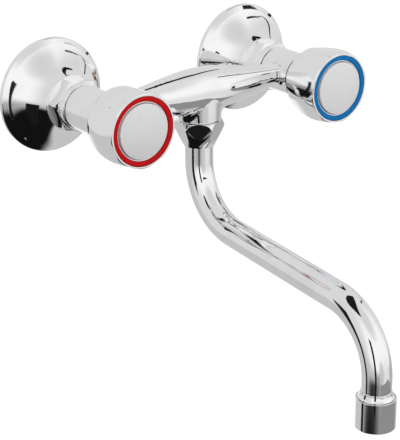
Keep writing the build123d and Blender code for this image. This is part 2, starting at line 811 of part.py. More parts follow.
def make_handle(side):
    """Hollow knob with oval finger facets and a splined hub."""
    pitch = 360 / FACET_COUNT
    cutters = [facet_cutter(side, FACET_ANGLES[side] + count * pitch) for count in range(FACET_COUNT)]
    with BuildPart() as handle:
        revolve(handle_outline(side), axis=valve_axis(side))
        add(cutters, mode=Mode.SUBTRACT)
        extrude(
            spline_outline(side, hub_start, RUNNING_CLEARANCE / 2),
            spline_end + RUNNING_CLEARANCE - hub_start,
            mode=Mode.SUBTRACT,
        )
    return handle


def make_index_ring(side):
    with BuildPart() as ring:
        revolve(
            ring_outline(
                valve_plane(side),
                RING_INNER_RADIUS,
                RING_OUTER_RADIUS,
                ring_seat,
                handle_front,
            ),
            axis=valve_axis(side),
        )
    return ring


def make_handle_cap(side):
    """Domed snap-in cap with a hollow skirt that stands on the web."""
    edge_radius = CAP_RADIUS - CAP_EDGE_ROUND
    edge_place = handle_front + CAP_EDGE_RISE
    inner = CAP_RADIUS - CAP_WALL
    crown = (0, edge_place + CAP_CROWN)
    rim = (CAP_RADIUS, edge_place - CAP_EDGE_ROUND)
    edge = (edge_radius, edge_place)
    with BuildPart() as cap:
        with BuildSketch(valve_plane(side)):
            with BuildLine():
                Line((CAP_RADIUS, web_end), rim)
                TangentArc(rim, edge, tangent=(0, 1))
                TangentArc(crown, edge, tangent=(1, 0))
                Polyline(
                    crown,
                    (0, edge_place - CAP_WALL),
                    (inner, edge_place - CAP_WALL),
                    (inner, web_end),
                    (CAP_RADIUS, web_end),
                )
            make_face()
        revolve(axis=valve_axis(side))
    return cap


def make_handle_screw(side):
    """Slotted screw that draws the handle's hub onto the spindle."""
    head = valve_section(side, web_end)
    slot = valve_section(side, web_end + HANDLE_SCREW_HEAD_LENGTH / 2)
    grip = web_end - spline_end + HANDLE_SCREW_GRIP - LOOSE_CLEARANCE
    with BuildPart() as screw:
        extrude(disc(head, HANDLE_SCREW_HEAD_RADIUS), HANDLE_SCREW_HEAD_LENGTH)
        extrude(disc(head, HANDLE_SCREW_RADIUS), -grip)
        with BuildSketch(slot):
            Rectangle(2 * HANDLE_SCREW_HEAD_RADIUS, HANDLE_SCREW_SLOT)
        extrude(amount=HANDLE_SCREW_HEAD_LENGTH / 2, mode=Mode.SUBTRACT)
    return screw


# Swivel

def make_swivel_nut():
    """Conical nut with lens-shaped spanner flats and a ledge for the slip ring."""
    top = (SWIVEL_NUT_TOP_RADIUS, nut_top_drop)
    widest = (SWIVEL_NUT_RADIUS, nut_widest_drop)
    bore = TUBE_RADIUS + 2 * LOOSE_CLEARANCE
    with BuildPart() as nut:
        with BuildSketch(drop_plane(0)):
            with BuildLine():
                TangentArc(widest, top, tangent=(0, -1))
                Polyline(
                    top,
                    (nut_thread_bore, nut_top_drop),
                    (nut_thread_bore, shoulder_drop),
                    (nut_ledge_bore, shoulder_drop),
                    (nut_ledge_bore, ledge_drop),
                    (bore, ledge_drop),
                    (bore, nut_end_drop),
                    (SWIVEL_NUT_END_RADIUS, nut_end_drop),
                    widest,
                )
            make_face()
        revolve(axis=upright_axis(0))
        extrude(
            hexagon(
                drop_section(0, nut_end_drop),
                SWIVEL_NUT_FLATS,
                SWIVEL_NUT_FLAT_ANGLE - 30,
            ),
            SWIVEL_NUT_LENGTH,
            mode=Mode.INTERSECT,
        )
    return nut


def make_spout_bush():
    """Brass journal on the tube's top end, with two seal grooves and a shoulder."""
    plane = drop_plane(0)
    groove_floor = BUSH_RADIUS - SPOUT_GROOVE_DEPTH
    with BuildPart() as bush:
        revolve(
            outline(
                plane,
                (BUSH_BORE_RADIUS, bush_top_drop),
                (BUSH_RADIUS, bush_top_drop),
                (BUSH_RADIUS, shoulder_drop),
                (BUSH_SHOULDER_RADIUS, shoulder_drop),
                (BUSH_SHOULDER_RADIUS, bush_end_drop),
                (TUBE_RADIUS, bush_end_drop),
                (TUBE_RADIUS, tube_top_drop),
                (BUSH_BORE_RADIUS, tube_top_drop),
            ),
            axis=upright_axis(0),
        )
        for place in BUSH_SEAL_PLACES:
            groove = ring_outline(
                plane,
                groove_floor,
                BUSH_RADIUS + 1,
                bush_top_drop + place - SPOUT_GROOVE_WIDTH / 2,
                bush_top_drop + place + SPOUT_GROOVE_WIDTH / 2,
            )
            revolve(groove, axis=upright_axis(0), mode=Mode.SUBTRACT)
    return bush


def make_spout_seals():
    centre_radius = socket_radius - LOOSE_CLEARANCE / 3 - SPOUT_SEAL_SECTION
    with BuildPart() as seals:
        for place in BUSH_SEAL_PLACES:
            revolve(
                seal_outline(
                    drop_plane(0),
                    centre_radius,
                    bush_top_drop + place,
                    SPOUT_SEAL_SECTION,
                ),
                axis=upright_axis(0),
            )
    return seals


def make_spout_slip_ring():
    with BuildPart() as ring:
        revolve(
            ring_outline(
                drop_plane(0),
                TUBE_RADIUS + LOOSE_CLEARANCE,
                BUSH_SHOULDER_RADIUS + RUNNING_CLEARANCE,
                slip_ring_drop,
                ledge_drop,
            ),
            axis=upright_axis(0),
        )
    return ring


# Spout

def make_spout_tube():
    """Bent tube: down from the swivel, out at a slight fall, and down to the aerator."""
    start = (0, -bar_distance, ECCENTRIC_OFFSET - tube_top_drop)
    first_corner = (0, -bar_distance, ECCENTRIC_OFFSET - first_corner_drop)
    second_corner = (0, -bar_distance - SPOUT_REACH, ECCENTRIC_OFFSET - second_corner_drop)
    end = (0, -bar_distance - SPOUT_REACH, ECCENTRIC_OFFSET - tube_end_drop)
    with BuildPart() as tube:
        with BuildLine() as route:
            FilletPolyline(start, first_corner, second_corner, end, radius=SPOUT_BEND_RADIUS)
        with BuildSketch(drop_section(0, tube_top_drop)):
            Circle(TUBE_RADIUS)
            Circle(TUBE_RADIUS - TUBE_WALL, mode=Mode.SUBTRACT)
        sweep(path=route.wires()[0])
    return tube


def make_spout_end_bush():
    """Flared end of the spout with a thread for the aerator."""
    flare_top = (END_BUSH_TOP_RADIUS, end_bush_top_drop)
    rim = (END_BUSH_THREAD_RADIUS, end_bush_rim_drop)
    with BuildPart() as bush:
        with BuildSketch(drop_plane(SPOUT_REACH)):
            with BuildLine():
                TangentArc(flare_top, rim, tangent=(0, 1))
                Polyline(
                    rim,
                    (END_BUSH_THREAD_RADIUS, end_bush_end_drop),
                    (END_BUSH_BORE_RADIUS, end_bush_end_drop),
                    (END_BUSH_BORE_RADIUS, tube_end_drop),
                    (TUBE_RADIUS, tube_end_drop),
                    (TUBE_RADIUS, end_bush_top_drop),
                    flare_top,
                )
            make_face()
        revolve(axis=upright_axis(SPOUT_REACH))
    return bush


def make_aerator_housing():
    with BuildPart() as housing:
        revolve(
            outline(
                drop_plane(SPOUT_REACH),
                (aerator_bore, aerator_mouth_drop),
                (AERATOR_MOUTH_RADIUS, aerator_mouth_drop),
                (AERATOR_MOUTH_RADIUS, aerator_top_drop),
                (AERATOR_RADIUS, aerator_top_drop),
                (AERATOR_RADIUS, aerator_end_drop),
                (AERATOR_LIP_BORE_RADIUS, aerator_end_drop),
                (AERATOR_LIP_BORE_RADIUS, screen_end_drop),
                (aerator_bore, screen_end_drop),
            ),
            axis=upright_axis(SPOUT_REACH),
        )
    return housing


def make_aerator_washer():
    with BuildPart() as washer:
        revolve(
            ring_outline(
                drop_plane(SPOUT_REACH),
                AERATOR_WASHER_BORE_RADIUS,
                AERATOR_INSERT_RADIUS,
                end_bush_end_drop,
                insert_top_drop,
            ),
            axis=upright_axis(SPOUT_REACH),
        )
    return washer


def make_aerator_insert():
    """Plastic cartridge drilled with a honeycomb of water holes."""
    length = screen_top_drop - insert_top_drop
    with BuildPart() as insert:
        extrude(disc(drop_section(SPOUT_REACH, screen_top_drop), AERATOR_INSERT_RADIUS), length)
        with BuildSketch(drop_section(SPOUT_REACH, screen_top_drop)):
            with Locations((0, 0)):
                Circle(AERATOR_HOLE_RADIUS)
            for count in (1, 2):
                with PolarLocations(count * AERATOR_HOLE_PITCH, 6 * count):
                    Circle(AERATOR_HOLE_RADIUS)
        extrude(amount=length, mode=Mode.SUBTRACT)
    return insert


def screen_places():
    """Centres of the square openings that lie inside the screen's field."""
    count = int(SCREEN_FIELD_RADIUS / SCREEN_PITCH)
    steps = [index * SCREEN_PITCH for index in range(-count, count + 1)]
    reach = SCREEN_FIELD_RADIUS - SCREEN_OPENING / 2
    return [(x, y) for x in steps for y in steps if x * x + y * y <= reach * reach]


def make_aerator_screen():
    with BuildPart() as screen:
        extrude(
            disc(drop_section(SPOUT_REACH, screen_end_drop), AERATOR_INSERT_RADIUS),
            SCREEN_THICKNESS,
        )
        with BuildSketch(drop_section(SPOUT_REACH, screen_end_drop)):
            with Locations(*screen_places()):
                Rectangle(SCREEN_OPENING, SCREEN_OPENING)
        extrude(amount=SCREEN_THICKNESS, mode=Mode.SUBTRACT)
    return screen


# Every piece, built and written under its own name

SIDE_PIECES = {
    "eccentric_union": make_eccentric_union,
    "rose": make_rose,
    "union_nut": make_union_nut,
    "inlet_washer": make_inlet_washer,
    "union_snap_ring": make_snap_ring,
    "bonnet_gasket": make_bonnet_gasket,
    "bonnet": make_bonnet,
    "seat_washer": make_seat_washer,
    "washer_screw": make_washer_screw,
    "jumper": make_jumper,
    "spindle": make_spindle,
    "spindle_seals": make_spindle_seals,
    "spindle_clip": make_spindle_clip,
    "handle": make_handle,
    "index_ring": make_index_ring,
    "handle_cap": make_handle_cap,
    "handle_screw": make_handle_screw,
}

SINGLE_PIECES = {
    "body": make_body,
    "swivel_nut": make_swivel_nut,
    "spout_slip_ring": make_spout_slip_ring,
    "spout_bush": make_spout_bush,
    "spout_seals": make_spout_seals,
    "spout_tube": make_spout_tube,
    "spout_end_bush": make_spout_end_bush,
    "aerator_housing": make_aerator_housing,
    "aerator_washer": make_aerator_washer,
    "aerator_insert": make_aerator_insert,
    "aerator_screen": make_aerator_screen,
}


def write_piece(piece, name):
    piece.part.label = name
    export_step(piece.part, f"parts/{name}.step")


os.makedirs("parts", exist_ok=True)
for name, make_piece in SINGLE_PIECES.items():
    write_piece(make_piece(), name)
for name, make_piece in SIDE_PIECES.items():
    for side, side_name in SIDE_NAMES.items():
        write_piece(make_piece(side), f"{name}_{side_name}")
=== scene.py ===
"""Wall-mounted kitchen tap: finishes, turned pieces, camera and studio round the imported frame.

Lengths inside the classes are millimetres, as on the drawing, and become metres
where a mesh is made. Along a valve a place is the distance from the wall face
towards the user. Along the outlet and the spout it is the drop below the valve axes.
"""

import json
import logging
import math
from dataclasses import dataclass, field
from enum import Enum
from typing import Sequence, Union

import bmesh
import bpy
import numpy as np
from mathutils import Matrix, Vector


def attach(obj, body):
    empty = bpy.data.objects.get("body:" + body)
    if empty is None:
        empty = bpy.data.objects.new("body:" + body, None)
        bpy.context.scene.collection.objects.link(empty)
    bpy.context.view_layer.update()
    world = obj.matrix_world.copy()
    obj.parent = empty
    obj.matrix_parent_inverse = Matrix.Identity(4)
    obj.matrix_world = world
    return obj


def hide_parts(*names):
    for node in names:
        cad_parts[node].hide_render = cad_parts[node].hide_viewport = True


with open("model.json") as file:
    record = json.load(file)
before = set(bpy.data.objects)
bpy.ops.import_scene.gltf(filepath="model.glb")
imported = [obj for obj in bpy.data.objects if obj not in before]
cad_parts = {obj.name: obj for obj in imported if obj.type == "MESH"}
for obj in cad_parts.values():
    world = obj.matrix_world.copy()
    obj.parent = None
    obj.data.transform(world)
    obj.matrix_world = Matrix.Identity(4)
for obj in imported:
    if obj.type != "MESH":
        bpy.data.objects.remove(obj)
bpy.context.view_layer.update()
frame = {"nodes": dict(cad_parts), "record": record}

LOG = logging.getLogger("kitchen_tap")
MM = 0.001

Point = tuple[float, float]
Place = tuple[float, float, float]
Band = tuple[float, float]
Colour = tuple[float, float, float]


# Places of the axes

INLET_CENTRES = 150.0
VALVE_HEIGHT = 8.0
BAR_DISTANCE = 53.6
SPOUT_REACH = 167.2


class Side(Enum):
    """The two supplies, with their place along the wall."""

    HOT = -1
    COLD = 1

    @property
    def label(self) -> str:
        """Ending of the names of this side's pieces."""
        return self.name.lower()


@dataclass(frozen=True)
class TurningAxis:
    """Axis that a piece is turned about, with places measured along it.

    Args:
        origin: point of the axis at place zero, in millimetres.
        along: unit direction in which places grow.
        outward: unit direction of the radius in the drawn section.
    """

    origin: Vector
    along: Vector
    outward: Vector

    def at(self, radius: float, place: float) -> Vector:
        """Point of the section, in metres.

        Args:
            radius: distance from the axis.
            place: distance along the axis.

        Returns:
            The point in the frame of the model.
        """
        return (self.origin + self.outward * radius + self.along * place) * MM

    def radius_of(self, point: Vector) -> float:
        """Distance of a point in metres from the axis, in millimetres."""
        return self.offset_of(point).length

    def place_of(self, point: Vector) -> float:
        """Place of a point in metres along the axis, in millimetres."""
        return (point / MM - self.origin).dot(self.along)

    def offset_of(self, point: Vector) -> Vector:
        """Part of a point's position that is square to the axis, in millimetres."""
        reach = point / MM - self.origin
        return reach - self.along * reach.dot(self.along)


def valve_axis(side: Side) -> TurningAxis:
    """Axis of one valve, from the wall towards the user."""
    origin = Vector((side.value * INLET_CENTRES / 2, 0, VALVE_HEIGHT))
    return TurningAxis(origin, Vector((0, -1, 0)), Vector((1, 0, 0)))


def drop_axis(reach: float = 0.0) -> TurningAxis:
    """Upright axis at a reach ahead of the bar, from the valve axes downwards."""
    origin = Vector((0, -BAR_DISTANCE - reach, VALVE_HEIGHT))
    return TurningAxis(origin, Vector((0, 0, -1)), Vector((1, 0, 0)))


# Shader maths

Number = Union["Level", float]
Inputs = dict[str | int, object]


class Level:
    """A number that changes over a surface, read from a node's output."""

    def __init__(self, graph: "NodeGraph", socket: bpy.types.NodeSocket) -> None:
        """Keeps the output and the graph that it belongs to."""
        self.graph = graph
        self.socket = socket

    def _math(self, operation: str, first: Number, second: Number = 0.0) -> "Level":
        """Adds one Math node and reads it."""
        inputs = {0: first, 1: second}
        node = self.graph.node("ShaderNodeMath", {"operation": operation}, inputs)
        return Level(self.graph, node.outputs[0])

    def __add__(self, other: Number) -> "Level":
        """Sum."""
        return self._math("ADD", self, other)

    def __sub__(self, other: Number) -> "Level":
        """Difference."""
        return self._math("SUBTRACT", self, other)

    def __rsub__(self, other: Number) -> "Level":
        """Difference, with the level taken away."""
        return self._math("SUBTRACT", other, self)

    def __mul__(self, other: Number) -> "Level":
        """Product."""
        return self._math("MULTIPLY", self, other)

    __radd__ = __add__
    __rmul__ = __mul__

    def root(self) -> "Level":
        """Square root."""
        return self._math("SQRT", self)

    def sine(self) -> "Level":
        """Sine of the level in radians."""
        return self._math("SINE", self)

    def eased(self, low: float, high: float) -> "Level":
        """Smooth step from 0 at low to 1 at high.

        Args:
            low: level that becomes 0.
            high: level that becomes 1.

        Returns:
            The eased level.
        """
        settings = {"interpolation_type": "SMOOTHSTEP"}
        inputs = {"Value": self, "From Min": low, "From Max": high}
        node = self.graph.node("ShaderNodeMapRange", settings, inputs)
        return Level(self.graph, node.outputs[0])


class NodeGraph:
    """The nodes of one material or of the world."""

    def __init__(self, tree: bpy.types.NodeTree) -> None:
        """Starts from an empty tree."""
        self.tree = tree
        tree.nodes.clear()

    def node(
        self,
        kind: str,
        settings: dict[str, object] | None = None,
        inputs: Inputs | None = None,
    ) -> bpy.types.Node:
        """Makes one node.

        Args:
            kind: type name of the node.
            settings: properties that are set before the sockets.
            inputs: value or link of each socket, by name or number.

        Returns:
            The node.
        """
        made = self.tree.nodes.new(kind)
        for key, value in (settings or {}).items():
            setattr(made, key, value)
        for key, value in (inputs or {}).items():
            source = value.socket if isinstance(value, Level) else value
            if isinstance(source, bpy.types.NodeSocket):
                self.tree.links.new(source, made.inputs[key])
            else:
                made.inputs[key].default_value = source
        return made

    def read(self, kind: str, output: str | int, inputs: Inputs | None = None) -> Level:
        """Makes one node and reads one of its outputs as a level."""
        return Level(self, self.node(kind, None, inputs).outputs[output])

    def place(self, centre: Sequence[float] = (0, 0, 0)) -> bpy.types.NodeSocket:
        """Object coordinates measured from a centre, in metres."""
        source = self.node("ShaderNodeTexCoord").outputs["Object"]
        shift = tuple(-value for value in centre)
        inputs = {"Vector": source, "Location": shift}
        return self.node("ShaderNodeMapping", None, inputs).outputs[0]

    def grain(self, where: bpy.types.NodeSocket, scale: float, detail: float) -> Level:
        """Noise between 0 and 1 with a number of features to the metre."""
        inputs = {"Vector": where, "Scale": scale, "Detail": detail}
        return self.read("ShaderNodeTexNoise", 0, inputs)

    def blend(self, share: Number, first: Colour, second: Colour) -> bpy.types.NodeSocket:
        """Colour between two others.

        Args:
            share: share of the second colour.
            first: colour at a share of 0.
            second: colour at a share of 1.

        Returns:
            The mixed colour.
        """
        inputs = {0: share, 6: (*first, 1.0), 7: (*second, 1.0)}
        return self.node("ShaderNodeMix", {"data_type": "RGBA"}, inputs).outputs[2]

    def relief(self, height: Level, depth: float, strength: float) -> bpy.types.NodeSocket:
        """Normal bent by a height, which is as deep as the given metres."""
        inputs = {"Height": height, "Distance": depth, "Strength": strength}
        return self.node("ShaderNodeBump", None, inputs).outputs[0]

    def distance_from(self, centre: Vector, along: Vector) -> Level:
        """Distance of the surface from an axis, in millimetres."""
        where = self.place(centre * MM)
        parts = self.node("ShaderNodeSeparateXYZ", None, {"Vector": where})
        kept = [index for index in range(3) if abs(along[index]) < 0.5]
        first, second = (Level(self, parts.outputs[index]) for index in kept)
        return (first * first + second * second).root() * (1 / MM)


# Finishes

@dataclass(frozen=True)
class Finish:
    """A surface finish, which makes one procedural material.

    Args:
        label: name of the material.
        colour: base colour, linear.
        roughness: roughness before any wear or grain.
    """

    label: str
    colour: Colour
    roughness: float

    @property
    def constants(self) -> dict[str, object]:
        """Sockets of the shader that are the same all over the surface."""
        return {}

    def varied(self, graph: NodeGraph) -> dict[str, object]:
        """Sockets of the shader that change over the surface.

        Args:
            graph: nodes of the material.

        Returns:
            Value or link of each socket.
        """
        raise NotImplementedError

    def material(self) -> bpy.types.Material:
        """The material, made on first use."""
        name = f"finish_{self.label}"
        known = bpy.data.materials.get(name)
        if known is not None:
            return known
        made = bpy.data.materials.new(name)
        made.use_nodes = True
        graph = NodeGraph(made.node_tree)
        inputs = {"Base Color": (*self.colour, 1.0), "Roughness": self.roughness}
        inputs.update(self.constants)
        inputs.update(self.varied(graph))
        shader = graph.node("ShaderNodeBsdfPrincipled", None, inputs)
        graph.node("ShaderNodeOutputMaterial", None, {"Surface": shader.outputs[0]})
        return made

    def dress(self, piece: bpy.types.Object) -> None:
        """Gives the finish to the whole of a piece."""
        piece.data.materials.clear()
        piece.data.materials.append(self.material())


@dataclass(frozen=True)
class PlatedChrome(Finish):
    """Polished chrome plate, with faint ripples under it and wiping marks on it."""

    label: str = "chrome_plate"
    colour: Colour = (0.92, 0.922, 0.928)
    roughness: float = 0.05
    dull_colour: Colour = (0.86, 0.866, 0.88)
    haze: float = 0.03
    wipe_scale: float = 70.0
    wipe_band: Band = (0.45, 0.75)
    ripple_scale: float = 28.0
    ripple_depth: float = 0.00001
    ripple_strength: float = 0.3

    @property
    def constants(self) -> dict[str, object]:
        """A metal all over."""
        return {"Metallic": 1.0}

    def varied(self, graph: NodeGraph) -> dict[str, object]:
        """Tone, haze and ripple of the plate."""
        where = graph.place()
        wiped = graph.grain(where, self.wipe_scale, 4.0).eased(*self.wipe_band)
        ripple = graph.grain(where, self.ripple_scale, 1.0)
        return {
            "Base Color": graph.blend(wiped, self.colour, self.dull_colour),
            "Roughness": wiped * self.haze + self.roughness,
            "Normal": graph.relief(ripple, self.ripple_depth, self.ripple_strength),
        }


@dataclass(frozen=True)
class SatinChrome(Finish):
    """Satin chrome with fine circular brushing about an axis."""

    label: str = "satin_cap"
    colour: Colour = (0.84, 0.84, 0.845)
    roughness: float = 0.36
    centre: Point = (0.0, 0.0)
    pitch: float = 0.35
    groove_colour: Colour = (0.74, 0.74, 0.75)
    groove_roughness: float = 0.08
    groove_depth: float = 0.000004
    groove_strength: float = 0.4
    break_scale: float = 400.0

    @property
    def constants(self) -> dict[str, object]:
        """Metal under a thin pale lacquer."""
        return {"Metallic": 0.55, "IOR": 1.5}

    def varied(self, graph: NodeGraph) -> dict[str, object]:
        """Brushed rings, with a tone and roughness that follow them."""
        centre = Vector((self.centre[0], 0, self.centre[1]))
        radius = graph.distance_from(centre, Vector((0, 1, 0)))
        streaks = (radius * (2 * math.pi / self.pitch)).sine() * 0.5 + 0.5
        patchy = graph.grain(graph.place(), self.break_scale, 3.0)
        brushed = streaks * patchy
        return {
            "Base Color": graph.blend(brushed, self.colour, self.groove_colour),
            "Roughness": brushed * self.groove_roughness + self.roughness,
            "Normal": graph.relief(brushed, self.groove_depth, self.groove_strength),
        }


@dataclass(frozen=True)
class IndexEnamel(Finish):
    """Glossy coloured ring, with pigment that is a little uneven."""

    roughness: float = 0.22
    deep_colour: Colour = (0.3, 0.0, 0.005)
    deep_share: float = 0.35
    pigment_scale: float = 220.0
    pigment_band: Band = (0.3, 0.8)
    pigment_roughness: float = 0.06
    skin_scale: float = 900.0
    skin_depth: float = 0.00001
    skin_strength: float = 0.15

    @property
    def constants(self) -> dict[str, object]:
        """A clear gloss over the colour."""
        return {"Specular IOR Level": 0.12, "Coat Weight": 0.03, "IOR": 1.5}

    def varied(self, graph: NodeGraph) -> dict[str, object]:
        """Uneven pigment and a moulded skin."""
        where = graph.place()
        pigment = graph.grain(where, self.pigment_scale, 3.0).eased(*self.pigment_band)
        skin = graph.grain(where, self.skin_scale, 2.0)
        return {
            "Base Color": graph.blend(pigment * self.deep_share, self.colour, self.deep_colour),
            "Roughness": pigment * self.pigment_roughness + self.roughness,
            "Normal": graph.relief(skin, self.skin_depth, self.skin_strength),
        }


@dataclass(frozen=True)
class TurnedMetal(Finish):
    """Bare metal with turning marks along one of the axes and a dull film in patches."""

    film_colour: Colour = (0.3, 0.2, 0.1)
    film_share: float = 0.6
    film_scale: float = 90.0
    film_band: Band = (0.4, 0.75)
    film_roughness: float = 0.2
    along: str = "Y"
    pitch: float = 0.5
    mark_roughness: float = 0.05
    mark_depth: float = 0.00002
    mark_strength: float = 0.25

    @property
    def constants(self) -> dict[str, object]:
        """A metal all over."""
        return {"Metallic": 1.0}

    def varied(self, graph: NodeGraph) -> dict[str, object]:
        """Turning marks, with a film that dulls parts of the surface."""
        where = graph.place()
        parts = graph.node("ShaderNodeSeparateXYZ", None, {"Vector": where})
        run = Level(graph, parts.outputs[self.along])
        marks = (run * (2 * math.pi / (self.pitch * MM))).sine() * 0.5 + 0.5
        film = graph.grain(where, self.film_scale, 5.0).eased(*self.film_band)
        dulled = film * self.film_roughness + marks * self.mark_roughness
        return {
            "Base Color": graph.blend(film * self.film_share, self.colour, self.film_colour),
            "Roughness": dulled + self.roughness,
            "Normal": graph.relief(marks, self.mark_depth, self.mark_strength),
        }


@dataclass(frozen=True)
class MouldedPolymer(Finish):
    """Rubber or plastic as it comes from the mould, with dust in its grain."""

    dust_colour: Colour = (0.2, 0.2, 0.2)
    dust_share: float = 0.3
    dust_scale: float = 150.0
    dust_band: Band = (0.5, 0.8)
    grain_size: float = 0.3
    grain_roughness: float = 0.15
    grain_depth: float = 0.00003
    grain_strength: float = 0.3

    @property
    def constants(self) -> dict[str, object]:
        """Not a metal."""
        return {"IOR": 1.5}

    def varied(self, graph: NodeGraph) -> dict[str, object]:
        """Moulded grain and the dust that it holds."""
        where = graph.place()
        fine = graph.grain(where, 1 / (self.grain_size * MM), 3.0)
        dust = graph.grain(where, self.dust_scale, 4.0).eased(*self.dust_band)
        return {
            "Base Color": graph.blend(dust * self.dust_share, self.colour, self.dust_colour),
            "Roughness": fine * self.grain_roughness + self.roughness,
            "Normal": graph.relief(fine, self.grain_depth, self.grain_strength),
        }


@dataclass(frozen=True)
class PressedFibre(Finish):
    """Red-brown washer fibre with flecks."""

    fleck_colour: Colour = (0.42, 0.22, 0.14)
    fleck_scale: float = 2500.0
    fleck_band: Band = (0.5, 0.62)
    fleck_roughness: float = 0.1
    fleck_depth: float = 0.00004
    fleck_strength: float = 0.4

    def varied(self, graph: NodeGraph) -> dict[str, object]:
        """Flecks of fibre, which also roughen the surface."""
        where = graph.place()
        flecks = graph.grain(where, self.fleck_scale, 2.0).eased(*self.fleck_band)
        return {
            "Base Color": graph.blend(flecks, self.colour, self.fleck_colour),
            "Roughness": flecks * self.fleck_roughness + self.roughness,
            "Normal": graph.relief(flecks, self.fleck_depth, self.fleck_strength),
        }


CHROME = PlatedChrome()
SATIN = {
    side: SatinChrome(
        label=f"satin_cap_{side.label}",
        centre=(side.value * INLET_CENTRES / 2, VALVE_HEIGHT),
    )
    for side in Side
}
RED = IndexEnamel("index_red", (0.56, 0.001, 0.003), deep_colour=(0.36, 0.0, 0.001))
BLUE = IndexEnamel("index_blue", (0.0, 0.17, 0.47), deep_colour=(0.0, 0.09, 0.3))
BRASS = TurnedMetal("raw_brass", (0.75, 0.55, 0.26), 0.24)
SPRING = TurnedMetal("spring_steel", (0.5, 0.5, 0.52), 0.3, (0.3, 0.28, 0.26))
WIRE = TurnedMetal("screen_steel", (0.62, 0.62, 0.64), 0.25, (0.4, 0.39, 0.37), along="X")
RUBBER = MouldedPolymer("black_rubber", (0.02, 0.02, 0.021), 0.55, (0.09, 0.085, 0.08))
FIBRE = PressedFibre("fibre", (0.26, 0.07, 0.04), 0.75)
WHITE_PLASTIC = MouldedPolymer("white_plastic", (0.78, 0.78, 0.76), 0.4, (0.6, 0.58, 0.54))
GREY_PLASTIC = MouldedPolymer("grey_plastic", (0.33, 0.34, 0.36), 0.42, (0.5, 0.5, 0.48))


# Shapes

SHARP_ANGLE = math.radians(38.0)
FINE_STEPS = 256
SAME_PLACE = 1e-7


@dataclass(frozen=True)
class Corner:
    """One corner of a section, with how far back from it its rounding starts."""

    radius: float
    place: float
    setback: float = 0.0


